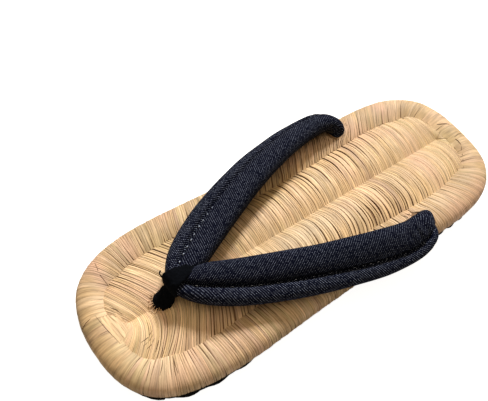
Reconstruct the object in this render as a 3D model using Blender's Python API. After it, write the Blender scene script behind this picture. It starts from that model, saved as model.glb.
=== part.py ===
"""Zori sandal: a woven straw footbed on a black rubber tread sole. A padded denim V strap is held
at the front by a velvet toe loop, and its rear ends go down into two holes near the heel.

Sizes are in millimetres here and become metres in the meshes. X runs across the shoe, Y along it
with the toe at -Y, and Z up. The origin is on the floor, under the middle of the shoe."""

import math

import bmesh
import bpy
from mathutils import Vector

MM = 0.001
# Space left between neighbouring pieces, and under the ends that stand in holes
GAP = 0.3
SEAT = 0.6
# Points nearer than this become one; points of the two mirrored halves meet more exactly
WELD = 0.05
MIRROR_WELD = 0.005
# Faces that meet at less than this many degrees look like one rounded surface
SMOOTH_ANGLE = 35.0
STRAW_SMOOTH_ANGLE = 20.0

# Outline of the footbed, seen from above
LENGTH = 265.0
MIDDLE_HALF_WIDTH = 48.4
END_FLARE = 0.58
TOE_LEAN = 0.075
TOE_SQUARENESS = 2.39
HEEL_SQUARENESS = 2.64
TRACK_STEPS = 3600
TRACK_SPAN = 4

# Heights of the sole, and its rise off the floor at both ends
LUG_DEPTH = 3.0
SOLE_TOP = 7.0
TOE_RISE = 1.2
TOE_RISE_FROM = -98.0
HEEL_RISE = 0.9
HEEL_RISE_FROM = 104.0

# Outline of the tread sole, as an inset from the footbed's outline. It tucks in more at the waist.
SOLE_INSET = 2.1
SOLE_WAIST_IN = 1.3
SOLE_TIP_IN = 1.6
SOLE_TIP_POWER = 12
WAIST_HALF_LENGTH = 55.0
SOLE_AROUND = 88

# Side of the tread sole between the lugs and the footbed: height and extra inset, bottom to top
SOLE_SIDE = (
    {"height": LUG_DEPTH, "inset": 0.7},
    {"height": 4.4, "inset": 0.0},
    {"height": 6.2, "inset": 0.0},
    {"height": SOLE_TOP, "inset": 0.6},
)

# Cross lugs, in two zones along the shoe: wide ones under toe and ball, narrow ones behind
LUG_ZONES = (
    {"from": -124.5, "pitch": 17.2, "lug": 12.4, "count": 6},
    {"from": -22.5, "pitch": 8.8, "lug": 5.9, "count": 17},
)
LUG_END_STEPS = 4
LUG_END_BULGE = 0.9
LUG_END_IN = 0.5
LUG_TIP_POWER = 8
LUG_LEAST_REACH = 8.0
# A lug from its face up to its root inside the base sheet; draft is how far its sides are drawn in
LUG_SECTION = (
    {"height": 0.0, "draft": 0.7},
    {"height": LUG_DEPTH - 1.0, "draft": 0.15},
    {"height": LUG_DEPTH + 2.0, "draft": 0.0},
)

# Woven footbed. Its strips run inwards over the rim roll and meet at the centre valley.
FOOTBED_TOP = 20.4
STRIP_COUNT = 140
STRIP_RELIEF = 0.32
RIM_SECTION = (
    {"inset": 2.9, "height": SOLE_TOP + GAP, "relief": 0.0, "waist_out": 1.2},
    {"inset": 0.6, "height": 9.2, "relief": 1.0, "waist_out": 1.4},
    {"inset": 0.1, "height": 14.2, "relief": 1.0, "waist_out": 0.4},
    {"inset": 2.9, "height": 18.6, "relief": 1.0, "waist_out": 0.0},
    {"inset": 9.5, "height": FOOTBED_TOP, "relief": 1.0, "waist_out": 0.0},
    {"inset": 16.0, "height": 19.9, "relief": 0.9, "waist_out": 0.0},
    {"inset": 20.5, "height": 18.3, "relief": 0.3, "waist_out": 0.0},
)
RIM_SIDE_BELOW = 17.0
INNER_ROLL = (
    {"share": 0.34, "height": 20.2, "relief": 0.9},
    {"share": 0.70, "height": 20.3, "relief": 0.9},
)
CENTRE_VALLEY_HEIGHT = 18.5
CENTRE_VALLEY_TOE_END = -106.0
CENTRE_VALLEY_HEEL_END = 104.0
CHEVRON_AT_MIDDLE = 5.0
CHEVRON_PER_MM = -0.09

# Holes through the footbed, down to the tread sole
FRONT_HOLE = {"x": 0.0, "y": -88.0, "radius": 5.6}
REAR_HOLE = {"x": 40.2, "y": 63.2, "radius": 6.4}
STRAP_HOLES = (
    ("front_hole_guide", FRONT_HOLE, 1),
    ("right_hole_guide", REAR_HOLE, 1),
    ("left_hole_guide", REAR_HOLE, -1),
)
HOLE_SIDES = 20
HOLE_OVERRUN = 3.0

# V strap: sections of the right arm from the fold at the front to the end in the rear hole.
# roll turns the outer edge down. crown and under are the heights above and below the middle line.
# groove is how far the stitched groove lies outside the middle, and sunk is its depth.
STRAP_SECTIONS = (
    {"x": -5.0, "y": -76.2, "z": 30.6, "roll": 10, "width": 12.0, "crown": 5.4, "under": 4.8,
     "groove": 0.5, "sunk": 1.5},
    {"x": 3.5, "y": -73.2, "z": 31.0, "roll": 10, "width": 16.5, "crown": 6.0, "under": 5.6,
     "groove": 1.0, "sunk": 3.0},
    {"x": 11.2, "y": -62.6, "z": 30.9, "roll": 9, "width": 23.6, "crown": 6.3, "under": 5.8,
     "groove": 2.2, "sunk": 4.4},
    {"x": 23.4, "y": -40.0, "z": 30.5, "roll": 15, "width": 26.6, "crown": 6.3, "under": 6.0,
     "groove": 3.2, "sunk": 4.6},
    {"x": 37.1, "y": -7.0, "z": 29.8, "roll": 25, "width": 26.8, "crown": 6.3, "under": 5.8,
     "groove": 3.6, "sunk": 4.6},
    {"x": 45.8, "y": 23.5, "z": 27.3, "roll": 36, "width": 26.2, "crown": 6.3, "under": 5.4,
     "groove": 4.2, "sunk": 4.4},
    {"x": 49.1, "y": 45.0, "z": 25.0, "roll": 38, "width": 23.6, "crown": 6.2, "under": 4.6,
     "groove": 4.4, "sunk": 3.4},
    {"x": 47.6, "y": 57.5, "z": 25.0, "roll": 33, "width": 19.9, "crown": 6.0, "under": 4.2,
     "groove": 3.6, "sunk": 2.0},
    {"x": 43.4, "y": 63.6, "z": 21.2, "roll": 18, "width": 14.4, "crown": 5.0, "under": 4.6,
     "groove": 1.0, "sunk": 0.4},
    {"x": REAR_HOLE["x"], "y": REAR_HOLE["y"], "z": 13.5, "roll": 0, "width": 11.6, "crown": 5.2,
     "under": 5.2, "groove": 0.0, "sunk": 0.0},
    {"x": REAR_HOLE["x"], "y": REAR_HOLE["y"], "z": SOLE_TOP + SEAT, "roll": 0, "width": 10.6,
     "crown": 4.8, "under": 4.8, "groove": 0.0, "sunk": 0.0},
)
STRAP_STEPS = 2
LOBE_ROUNDNESS = 2.3
OUTER_LOBE_CROWN = 0.8
LOBE_STEPS = 6
UNDERSIDE_STEPS = 6
UNDERSIDE_ACROSS_POWER = 0.8
UNDERSIDE_DOWN_POWER = 0.7

# Toe loop: a flat ring round the fold of the strap, in the plane X = 0, on a round stem
LOOP_CENTRE_Y = -72.9
LOOP_CENTRE_Z = 30.8
LOOP_HALF_LENGTH = 9.2
LOOP_HALF_HEIGHT = 6.2
LOOP_SQUARENESS = 2.5
LOOP_BACK_DROP = 1.2
LOOP_THICKNESS = 3.4
LOOP_EDGE_POWER = 0.75
LOOP_STEPS = 28
LOOP_SIDES = 10
# Width of the ring where it crosses the front of the fold, and at the crotch of the V
LOOP_FRONT_WIDTH = 13.0
LOOP_BACK_WIDTH = 4.0
STEM_SECTIONS = (
    {"y": -88.0, "z": SOLE_TOP + SEAT, "radius": 4.9},
    {"y": -87.8, "z": 15.0, "radius": 5.3},
    {"y": -87.2, "z": 20.0, "radius": 6.0},
    {"y": -85.2, "z": 23.5, "radius": 5.0},
    {"y": -82.2, "z": 27.0, "radius": 4.5},
    {"y": -79.4, "z": 32.0, "radius": 4.0},
)
STEM_STEPS = 2
STEM_SIDES = 16

# Surface colours, as linear red, green and blue
RUBBER = {"colour": (0.006, 0.006, 0.006), "roughness": 0.75}
STRAW = {"colour": (0.62, 0.44, 0.24), "roughness": 0.6}
DENIM = {"colour": (0.013, 0.016, 0.028), "roughness": 0.9}
VELVET = {"colour": (0.003, 0.004, 0.006), "roughness": 0.95}


def clear_scene():
    for item in list(bpy.data.objects):
        bpy.data.objects.remove(item, do_unlink=True)


def signed_power(value, power):
    """A power of the size of a number, with the number's own sign."""
    return math.copysign(abs(value) ** power, value)


def surface(name, look):
    material = bpy.data.materials.new(name)
    material.use_nodes = True
    shader = material.node_tree.nodes["Principled BSDF"]
    shader.inputs["Base Color"].default_value = (*look["colour"], 1.0)
    shader.inputs["Roughness"].default_value = look["roughness"]
    shader.inputs["Metallic"].default_value = 0.0
    return material


def half_width(along):
    """Half of the width before the ends are rounded; along is -1 at the toe and 1 at the heel."""
    return MIDDLE_HALF_WIDTH * (1 - TOE_LEAN * along + END_FLARE * along * along)


def outline_at(angle):
    """Point of the outline at an angle from +X, as a superellipse with its own power at each end."""
    power = HEEL_SQUARENESS if math.sin(angle) > 0 else TOE_SQUARENESS
    along = signed_power(math.sin(angle), 2 / power)
    across = signed_power(math.cos(angle), 2 / power)
    return Vector((half_width(along) * across, LENGTH / 2 * along))


def even_outline(count):
    """Points evenly spaced round the outline from the toe's middle, each with its inward normal."""
    start = -math.pi / 2
    turn = 2 * math.pi / TRACK_STEPS
    track = [outline_at(start + turn * step) for step in range(TRACK_STEPS + 1)]
    walked = [0.0]
    for before, after in zip(track, track[1:]):
        walked.append(walked[-1] + (after - before).length)
    points = []
    step = 0
    for index in range(count):
        target = walked[-1] * index / count
        while walked[step + 1] < target:
            step += 1
        share = (target - walked[step]) / (walked[step + 1] - walked[step])
        point = track[step].lerp(track[step + 1], share)
        after = track[(step + 1 + TRACK_SPAN) % TRACK_STEPS]
        before = track[(step - TRACK_SPAN) % TRACK_STEPS]
        ahead = (after - before).normalized()
        points.append((point, Vector((-ahead.y, ahead.x))))
    return points


def end_rise(y):
    """How far the sole lifts off the floor towards the toe and the heel."""
    if y < TOE_RISE_FROM:
        share = (TOE_RISE_FROM - y) / (LENGTH / 2 + TOE_RISE_FROM)
        return TOE_RISE * share * share
    if y > HEEL_RISE_FROM:
        share = (y - HEEL_RISE_FROM) / (LENGTH / 2 - HEEL_RISE_FROM)
        return HEEL_RISE * share * share
    return 0.0


def waist(y):
    """1 at the middle of the length, falling to almost nothing at the ball and the heel."""
    return math.exp(-(y / WAIST_HALF_LENGTH) ** 2)


def sole_inset(y):
    tip = abs(2 * y / LENGTH) ** SOLE_TIP_POWER
    return SOLE_INSET + SOLE_WAIST_IN * waist(y) + SOLE_TIP_IN * tip


def add_skin(mesh, made):
    """Faces between neighbouring closed rings of vertices."""
    for lower, upper in zip(made, made[1:]):
        count = len(lower)
        for index in range(count):
            after = (index + 1) % count
            mesh.faces.new((lower[index], lower[after], upper[after], upper[index]))


def add_rings(mesh, rings):
    """Join closed rings of points into a skin, with a flat face over the first and the last ring."""
    made = [[mesh.verts.new(point) for point in ring] for ring in rings]
    add_skin(mesh, made)
    mesh.faces.new(list(reversed(made[0])))
    mesh.faces.new(made[-1])


def add_cross_faces(mesh, ring):
    """Cover a ring that starts at the toe's middle with strips from side to side of the shoe."""
    count = len(ring)
    mesh.faces.new((ring[0], ring[1], ring[-1]))
    for index in range(1, count // 2 - 1):
        mesh.faces.new((ring[index], ring[index + 1], ring[count - index - 1], ring[count - index]))
    middle = count // 2
    mesh.faces.new((ring[middle - 1], ring[middle], ring[middle + 1]))


def finish_object(name, mesh, material, rises=False, smooth_angle=SMOOTH_ANGLE):
    """Turn a mesh in millimetres into a named object in metres, with its faces pointing out."""
    if rises:
        for vert in mesh.verts:
            vert.co.z += end_rise(vert.co.y)
    for vert in mesh.verts:
        vert.co *= MM
    bmesh.ops.recalc_face_normals(mesh, faces=mesh.faces)
    data = bpy.data.meshes.new(name)
    mesh.to_mesh(data)
    mesh.free()
    data.shade_smooth()
    data.set_sharp_from_angle(angle=math.radians(smooth_angle))
    item = bpy.data.objects.new(name, data)
    bpy.context.collection.objects.link(item)
    if material is not None:
        data.materials.append(material)
    return item


def cut_or_join(item, tool, operation):
    """Boolean one object with a tool that stays in the scene as a wire guide."""
    tool.hide_render = True
    tool.display_type = "WIRE"
    change = item.modifiers.new(tool.name, "BOOLEAN")
    change.operation = operation
    change.solver = "EXACT"
    change.object = tool


def lug_outline(front, back):
    """Outline of one cross lug between two places along the shoe, with its ends bulged a little."""
    right = []
    for step in range(LUG_END_STEPS + 1):
        share = step / LUG_END_STEPS
        y = front + (back - front) * share
        along = max(-1.0, min(1.0, y / (LENGTH / 2)))
        power = HEEL_SQUARENESS if along > 0 else TOE_SQUARENESS
        across = (1 - abs(along) ** power) ** (1 / power)
        bulge = LUG_END_BULGE * math.sin(math.pi * share)
        inset = sole_inset(y) * (1 + abs(along) ** LUG_TIP_POWER) + LUG_END_IN - bulge
        reach = half_width(along) * across - inset
        right.append(Vector((max(reach, LUG_LEAST_REACH), y)))
    left = [Vector((-point.x, point.y)) for point in reversed(right)]
    return right + left


def add_lug(mesh, front, back):
    outline = lug_outline(front, back)
    middle_y = (front + back) / 2
    rings = []
    for row in LUG_SECTION:
        kept = 1 - 2 * row["draft"] / (back - front)
        ring = []
        for point in outline:
            x = point.x - math.copysign(row["draft"], point.x)
            y = middle_y + (point.y - middle_y) * kept
            ring.append((x, y, row["height"]))
        rings.append(ring)
    add_rings(mesh, rings)


def build_outsole(rubber):
    """Black rubber tread sole: a base sheet with cross lugs moulded under it."""
    base = bmesh.new()
    outline = even_outline(SOLE_AROUND)
    rings = []
    for row in SOLE_SIDE:
        ring = []
        for point, inward in outline:
            place = point + inward * (sole_inset(point.y) + row["inset"])
            ring.append(base.verts.new((place.x, place.y, row["height"])))
        rings.append(ring)
    add_skin(base, rings)
    add_cross_faces(base, rings[0])
    add_cross_faces(base, rings[-1])
    outsole = finish_object("outsole", base, rubber, rises=True)

    lugs = bmesh.new()
    for zone in LUG_ZONES:
        for index in range(zone["count"]):
            front = zone["from"] + zone["pitch"] * index
            add_lug(lugs, front, front + zone["lug"])
    tread = finish_object("tread_lugs_guide", lugs, None, rises=True)
    cut_or_join(outsole, tread, "UNION")
    return outsole


def valley_point(inset_point):
    """Where the strip that crosses the rim valley at a point meets the centre valley."""
    chevron = max(0.0, CHEVRON_AT_MIDDLE + CHEVRON_PER_MM * inset_point.y)
    y = inset_point.y + chevron
    return Vector((0.0, max(CENTRE_VALLEY_TOE_END, min(CENTRE_VALLEY_HEEL_END, y))))


def hole_guide(name, hole, side):
    """Upright cylinder that cuts one strap hole through the footbed."""
    mesh = bmesh.new()
    rings = []
    for height in (SOLE_TOP - HOLE_OVERRUN, FOOTBED_TOP + HOLE_OVERRUN):
        ring = []
        for step in range(HOLE_SIDES):
            angle = 2 * math.pi * (step + 0.5) / HOLE_SIDES
            x = side * hole["x"] + hole["radius"] * math.cos(angle)
            y = hole["y"] + hole["radius"] * math.sin(angle)
            ring.append((x, y, height))
        rings.append(ring)
    add_rings(mesh, rings)
    return finish_object(name, mesh, None)


def build_footbed(straw):
    """Woven straw footbed: a rim roll round two inner rolls, one wall with its strips raised."""
    mesh = bmesh.new()
    outline = even_outline(2 * STRIP_COUNT)
    ridge = [1.0 if index % 2 == 0 else -1.0 for index in range(2 * STRIP_COUNT)]
    rings = []
    for row in RIM_SECTION:
        ring = []
        for (point, inward), sign in zip(outline, ridge):
            relief = STRIP_RELIEF * row["relief"] * sign
            inset = row["inset"] - row["waist_out"] * waist(point.y)
            height = row["height"]
            if row["height"] < RIM_SIDE_BELOW:
                inset -= relief
            else:
                height += relief
            place = point + inward * inset
            ring.append((place.x, place.y, height))
        rings.append(ring)
    rim_valley = [point + inward * RIM_SECTION[-1]["inset"] for point, inward in outline]
    for row in INNER_ROLL:
        ring = []
        for start, sign in zip(rim_valley, ridge):
            place = start.lerp(valley_point(start), row["share"])
            ring.append((place.x, place.y, row["height"] + STRIP_RELIEF * row["relief"] * sign))
        rings.append(ring)
    made = [[mesh.verts.new(point) for point in ring] for ring in rings]
    centre = []
    for start in rim_valley:
        place = valley_point(start)
        centre.append(mesh.verts.new((0.0, place.y, CENTRE_VALLEY_HEIGHT)))
    made.append(centre)
    add_skin(mesh, made)
    add_cross_faces(mesh, made[0])
    bmesh.ops.remove_doubles(mesh, verts=centre, dist=WELD)
    footbed = finish_object(
        "woven_footbed", mesh, straw, rises=True, smooth_angle=STRAW_SMOOTH_ANGLE)
    for name, hole, side in STRAP_HOLES:
        cut_or_join(footbed, hole_guide(name, hole, side), "DIFFERENCE")
    return footbed


def smooth_rows(rows, steps):
    """Rows of a table with others between them, on a smooth curve through each column."""
    names = list(rows[0])
    result = []
    for index in range(len(rows) - 1):
        row_a = rows[max(index - 1, 0)]
        row_b = rows[index]
        row_c = rows[index + 1]
        row_d = rows[min(index + 2, len(rows) - 1)]
        for step in range(steps):
            t = step / steps
            between = {}
            for name in names:
                a, b, c, d = row_a[name], row_b[name], row_c[name], row_d[name]
                curve = 2 * b + (c - a) * t + (2 * a - 5 * b + 4 * c - d) * t ** 2
                between[name] = 0.5 * (curve + (3 * b - a - 3 * c + d) * t ** 3)
            result.append(between)
    result.append(dict(rows[-1]))
    return result


def lobe_reach(height):
    """Where a lobe has come down to a share of its height, as a share of its half width."""
    return (1 - height ** LOBE_ROUNDNESS) ** (1 / LOBE_ROUNDNESS)


def lobe_arc(left, right, crown, meet_left, meet_right):
    """Points over one lobe, on a rounded arch that starts and ends at shares of its height."""
    middle = (left + right) / 2
    half = (right - left) / 2
    first = math.pi - math.asin(meet_left ** (LOBE_ROUNDNESS / 2))
    last = math.asin(meet_right ** (LOBE_ROUNDNESS / 2))
    points = []
    for step in range(LOBE_STEPS + 1):
        angle = first + (last - first) * step / LOBE_STEPS
        across = signed_power(math.cos(angle), 2 / LOBE_ROUNDNESS)
        height = signed_power(math.sin(angle), 2 / LOBE_ROUNDNESS)
        points.append((middle + half * across, crown * height))
    return points


def strap_section(row, grow):
    """Closed section of the strap: two lobes over the groove, and a flatter underside.
    The first number runs outwards along the width, the second up from the middle line."""
    half = row["width"] / 2 + grow
    groove = row["groove"]
    crown = row["crown"] + grow
    outer_crown = crown * OUTER_LOBE_CROWN
    floor = min(outer_crown, max(0.0, crown - row["sunk"]))
    inner_half = (groove + half) / (1 + lobe_reach(floor / crown))
    outer_half = (half - groove) / (1 + lobe_reach(floor / outer_crown))
    inner = lobe_arc(-half, -half + 2 * inner_half, crown, 0.0, floor / crown)
    outer = lobe_arc(half - 2 * outer_half, half, outer_crown, floor / outer_crown, 0.0)
    under = []
    for step in range(1, UNDERSIDE_STEPS):
        angle = -math.pi * step / UNDERSIDE_STEPS
        across = signed_power(math.cos(angle), UNDERSIDE_ACROSS_POWER)
        down = signed_power(math.sin(angle), UNDERSIDE_DOWN_POWER)
        under.append((half * across, (row["under"] + grow) * down))
    return inner + outer[1:] + under


def strap_rings(grow):
    """Rings of points along the right arm, from the fold to the end in the rear hole."""
    rows = smooth_rows(STRAP_SECTIONS, STRAP_STEPS)
    middles = [Vector((row["x"], row["y"], row["z"])) for row in rows]
    rings = []
    for index, row in enumerate(rows):
        behind = middles[max(index - 1, 0)]
        ahead = middles[min(index + 1, len(rows) - 1)]
        run = (ahead - behind).normalized()
        down = max(0.0, -run.z)
        upward = Vector((0.0, down, 1.0 - down))
        outward = run.cross(upward).normalized()
        upward = outward.cross(run)
        roll = math.radians(row["roll"])
        wide = outward * math.cos(roll) - upward * math.sin(roll)
        face = outward * math.sin(roll) + upward * math.cos(roll)
        rings.append([middles[index] + wide * a + face * b for a, b in strap_section(row, grow)])
    return rings


def strap_object(name, material, grow):
    """Both arms of the V: one arm, cut at the middle of the shoe, and its mirror joined to it."""
    mesh = bmesh.new()
    add_rings(mesh, strap_rings(grow))
    bmesh.ops.recalc_face_normals(mesh, faces=mesh.faces)
    whole = list(mesh.verts) + list(mesh.edges) + list(mesh.faces)
    bmesh.ops.bisect_plane(
        mesh, geom=whole, plane_co=(0, 0, 0), plane_no=(1, 0, 0), clear_inner=True)
    for vert in mesh.verts:
        if abs(vert.co.x) < WELD:
            vert.co.x = 0.0
    bmesh.ops.remove_doubles(mesh, verts=mesh.verts, dist=WELD)
    whole = list(mesh.verts) + list(mesh.edges) + list(mesh.faces)
    bmesh.ops.mirror(mesh, geom=whole, axis="X", merge_dist=MIRROR_WELD)
    return finish_object(name, mesh, material)


def loop_rings(grow):
    """Rings of points along the toe loop's ring; grow makes it larger all over."""
    rings = []
    for step in range(LOOP_STEPS):
        angle = 2 * math.pi * step / LOOP_STEPS
        cosine = math.cos(angle)
        sine = math.sin(angle)
        along = signed_power(cosine, 2 / LOOP_SQUARENESS)
        up = signed_power(sine, 2 / LOOP_SQUARENESS)
        y = LOOP_CENTRE_Y + LOOP_HALF_LENGTH * along
        z = LOOP_CENTRE_Z + LOOP_HALF_HEIGHT * up - LOOP_BACK_DROP * along
        outward = Vector((0.0, cosine * LOOP_HALF_HEIGHT, sine * LOOP_HALF_LENGTH)).normalized()
        front_share = (1 - along) / 2
        width = LOOP_BACK_WIDTH + (LOOP_FRONT_WIDTH - LOOP_BACK_WIDTH) * front_share
        ring = []
        for side in range(LOOP_SIDES):
            turn = 2 * math.pi * side / LOOP_SIDES
            across = signed_power(math.cos(turn), LOOP_EDGE_POWER) * (width / 2 + grow)
            out = signed_power(math.sin(turn), LOOP_EDGE_POWER) * (LOOP_THICKNESS / 2 + grow)
            ring.append(Vector((across, y, z)) + outward * out)
        rings.append(ring)
    return rings


def stem_mesh(grow):
    """The round stem that goes down from the ring into the front hole."""
    rows = smooth_rows(STEM_SECTIONS, STEM_STEPS)
    rows[0]["z"] -= grow
    rows[-1]["z"] += grow
    rings = []
    for row in rows:
        ring = []
        for side in range(STEM_SIDES):
            turn = 2 * math.pi * side / STEM_SIDES
            x = (row["radius"] + grow) * math.cos(turn)
            y = row["y"] + (row["radius"] + grow) * math.sin(turn)
            ring.append((x, y, row["z"]))
        rings.append(ring)
    mesh = bmesh.new()
    add_rings(mesh, rings)
    return mesh


def toe_loop_object(name, material, grow):
    """Ring and stem of the toe loop as one object."""
    mesh = bmesh.new()
    made = [[mesh.verts.new(point) for point in ring] for ring in loop_rings(grow)]
    for ring, after_ring in zip(made, made[1:] + made[:1]):
        for side in range(LOOP_SIDES):
            after = (side + 1) % LOOP_SIDES
            mesh.faces.new((ring[side], ring[after], after_ring[after], after_ring[side]))
    loop = finish_object(name, mesh, material)
    stem = finish_object(name + "_stem_guide", stem_mesh(grow), None)
    cut_or_join(loop, stem, "UNION")
    return loop


def main():
    clear_scene()
    build_outsole(surface("rubber", RUBBER))
    footbed = build_footbed(surface("straw", STRAW))
    strap = strap_object("strap", surface("denim", DENIM), 0.0)
    toe_loop_object("toe_loop", surface("velvet", VELVET), 0.0)

    loop_room = toe_loop_object("loop_room_guide", None, GAP)
    cut_or_join(strap, loop_room, "DIFFERENCE")
    cut_or_join(footbed, loop_room, "DIFFERENCE")
    cut_or_join(footbed, strap_object("strap_room_guide", None, GAP), "DIFFERENCE")


main()
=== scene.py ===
"""Zori sandal: the looks of its woven straw footbed, padded denim strap, velvet toe loop and
rubber tread sole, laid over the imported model.

Sizes are in millimetres here, and become metres when a piece is made. X runs across the shoe,
Y along it with the toe at -Y, and Z up, with the floor at Z = 0. Angles named here are in degrees,
except the camera's. Colours are linear red, green and blue."""

import bisect
import math
import random

import bmesh
import bpy
from mathutils import Matrix, Vector, noise
from mathutils.bvhtree import BVHTree


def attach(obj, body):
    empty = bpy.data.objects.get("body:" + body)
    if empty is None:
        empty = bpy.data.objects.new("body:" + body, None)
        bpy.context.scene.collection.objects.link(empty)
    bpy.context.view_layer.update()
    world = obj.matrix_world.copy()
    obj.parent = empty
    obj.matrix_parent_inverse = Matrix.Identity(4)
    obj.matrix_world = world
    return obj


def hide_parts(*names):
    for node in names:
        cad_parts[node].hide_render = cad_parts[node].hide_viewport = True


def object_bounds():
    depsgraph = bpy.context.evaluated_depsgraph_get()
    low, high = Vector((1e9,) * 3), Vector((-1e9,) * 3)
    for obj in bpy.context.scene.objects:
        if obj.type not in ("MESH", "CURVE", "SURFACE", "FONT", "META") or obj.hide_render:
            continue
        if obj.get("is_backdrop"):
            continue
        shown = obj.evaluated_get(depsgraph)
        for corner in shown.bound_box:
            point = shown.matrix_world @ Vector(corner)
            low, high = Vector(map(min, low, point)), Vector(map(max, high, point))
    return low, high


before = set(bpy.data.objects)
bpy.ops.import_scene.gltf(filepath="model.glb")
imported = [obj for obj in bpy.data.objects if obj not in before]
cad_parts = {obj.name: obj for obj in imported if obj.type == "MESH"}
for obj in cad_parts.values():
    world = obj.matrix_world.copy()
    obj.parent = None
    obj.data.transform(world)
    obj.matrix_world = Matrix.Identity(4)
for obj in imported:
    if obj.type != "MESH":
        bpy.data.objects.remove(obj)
cad_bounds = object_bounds()


def table(columns, *rows):
    """Rows of values as dictionaries, with the names of the columns given once."""
    return [dict(zip(columns.split(), row)) for row in rows]


MM = 0.001
BODY = "root"
SMOOTH_ANGLE = 60.0

# Outline of the footbed, as in the model
LENGTH = 265.0
MIDDLE_HALF_WIDTH = 48.4
END_FLARE = 0.58
TOE_LEAN = 0.075
TOE_SQUARENESS = 2.39
HEEL_SQUARENESS = 2.64
TRACK_STEPS = 3600
# The outline's inward normal is taken over this many steps each way
NORMAL_STEPS = 5
WAIST_HALF_LENGTH = 55.0
# Rise of both ends off the floor: tip, where the rise starts, and its height at the tip
END_RISES = table("tip start rise", (-LENGTH / 2, -98.0, 1.2), (LENGTH / 2, 104.0, 0.9))

# Rim roll, from the tread sole up over its outer side to the rim valley
RIM_PROFILE = table(
    "inset height waist_out",
    (3.6, 7.4, 1.2), (1.3, 8.9, 1.4), (0.3, 12.6, 0.6), (1.0, 16.3, 0.2), (3.9, 19.0, 0.0),
    (8.6, 20.3, 0.0), (13.4, 20.2, 0.0), (17.8, 19.2, 0.0), (20.6, 18.1, 0.0),
)
RIM_VALLEY_HEIGHT = RIM_PROFILE[-1]["height"]
# The rim's straws lean about the roll's crown
CROWN_INSET = 10.0
RIM_RINGS = 17
# Distance from the shoe's middle at which the toe and heel tips start, where the rim roll is
# narrower inwards of an inset
TIP_FROM = 110.0
NARROW_FROM_INSET = 4.0
TIP_NARROWING = 0.30
# The rim's outer side stands back here, so that the black tread edge shows
BARE_TREAD = {"y": -96.0, "reach": 24.0, "back": 1.0}

# Slant of the rim's straws from square across; the outer end lies towards the heel
RIM_SLANT = table(
    "y left right",
    (-132.0, 0, 0), (-108.0, -4, -2), (-95.0, 0, 4), (-70.0, 13, 5), (-40.0, 12, 6), (0.0, 22, 7),
    (30.0, 31, 8), (60.0, 33, 8), (85.0, 32, 14), (100.0, 29, 19), (115.0, 14, 10), (133.0, 0, 0),
)

# Inner rolls: how much nearer the heel a straw is at the middle of the shoe than at the rim valley
CHEVRON = table(
    "y rise",
    (-116.0, 8.0), (-110.0, 11.5), (-100.0, 16.0), (-80.0, 15.5), (-60.0, 11.0), (-40.0, 5.5),
    (-20.0, 2.0), (50.0, -0.6), (90.0, -1.0), (119.0, 0.0),
)
# How much of that bend lies near the rim valley: 1 is a straight slant
BEND = table(
    "y left right", (-112.0, 1.0, 2.4), (-100.0, 1.1, 2.2), (-90.0, 1.1, 1.3), (100.0, 1.1, 1.3))
# How far the straws of each roll bow towards the heel, and where along the shoe they do
ARCH = {"left": 1.9, "right": 2.9}
ARCH_POWER = 2.4
ARCH_FROM = -55.0
ARCH_FULL = -15.0
ARCH_FADE_FROM = 102.0
ARCH_UNTIL = 112.0
CENTRE_VALLEY_TOE_END = -109.5
CENTRE_VALLEY_HEEL_END = 113.5
CENTRE_VALLEY_HEIGHT = 17.7
TIP_VALLEY_FILL = 1.2
INNER_CROWN_HEIGHT = 20.6
INNER_ROLL_POWER = 2.2
# An inner roll is lower where it is narrower than this
FULL_CROWN_REACH = 20.0
INNER_RINGS = 15
FIRST_INNER_STRAW = 0.4
# The ends of the inner rolls' straws run on under the rim roll
UNDER_RIM_REACH = 1.6
UNDER_RIM_DROP = 0.45

# Core under the straws; its last ring stops just short of the centre valley
CORE_BELOW = 0.6
CORE_AROUND = 300
CORE_RIM_RINGS = 13
CORE_INNER_RINGS = 8
CORE_STOP_SHORT = 0.001

# Strap holes: middle, radius and the direction in which the straws run past them
HOLES = table("x y radius run", (0.0, -87.6, 4.6, 0), (40.6, 63.2, 6.0, 8), (-40.6, 63.2, 6.0, -33))
PARTING_REACH = 11.0

# Straws: sizes, and how freely they are laid
RIM_STRAW_WIDTH = (0.8, 1.8)
INNER_STRAW_WIDTH = (0.8, 1.75)
BROAD_AT_TIPS = 3.0
STRAW_CROWN = (0.05, 0.18)
FULL_CROWN_WIDTH = 0.8
LEAST_HALF_WIDTH = 0.12
STRAW_COVER = (0.98, 1.12)
STRAW_SKEW = 0.6
STRAW_TILT = 0.35
# How much less or more than the whole way over the rim roll a straw reaches
RIM_TUCK = (-0.035, 0.012)
# Slow drift of the straws: its size, and how fast it changes across and along the shoe
WANDER = 1.0
WANDER_ACROSS = 0.042
WANDER_ALONG = 0.07
WANDER_LEVEL = 3.1
STRAW_SECTION = table(
    "across height", (-1.0, -0.5), (-0.6, 0.75), (0.0, 1.0), (0.6, 0.75), (1.0, -0.5), (0.0, -1.4))

# Starts of the random draws
SEEDS = {"rim": 11, "inner": 23, "toe": 41, "stem": 43, "stitches": 5, "pile": 31}

# Slits beside the straws: length as a share of the straw, width, and how often and how near one lies
# to the straw's flanks
SLIT_LENGTH = (0.03, 0.11)
SLIT_WIDTHS = (0.0, 0.0, 0.0, 0.12, 0.2, 0.35)
LOOSE_SLIT_WIDTHS = (0.1, 0.25, 0.4, 0.55)
FLANK_CHANCE = 0.65
FLANK_SPREAD = (-0.05, 0.07)

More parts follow.
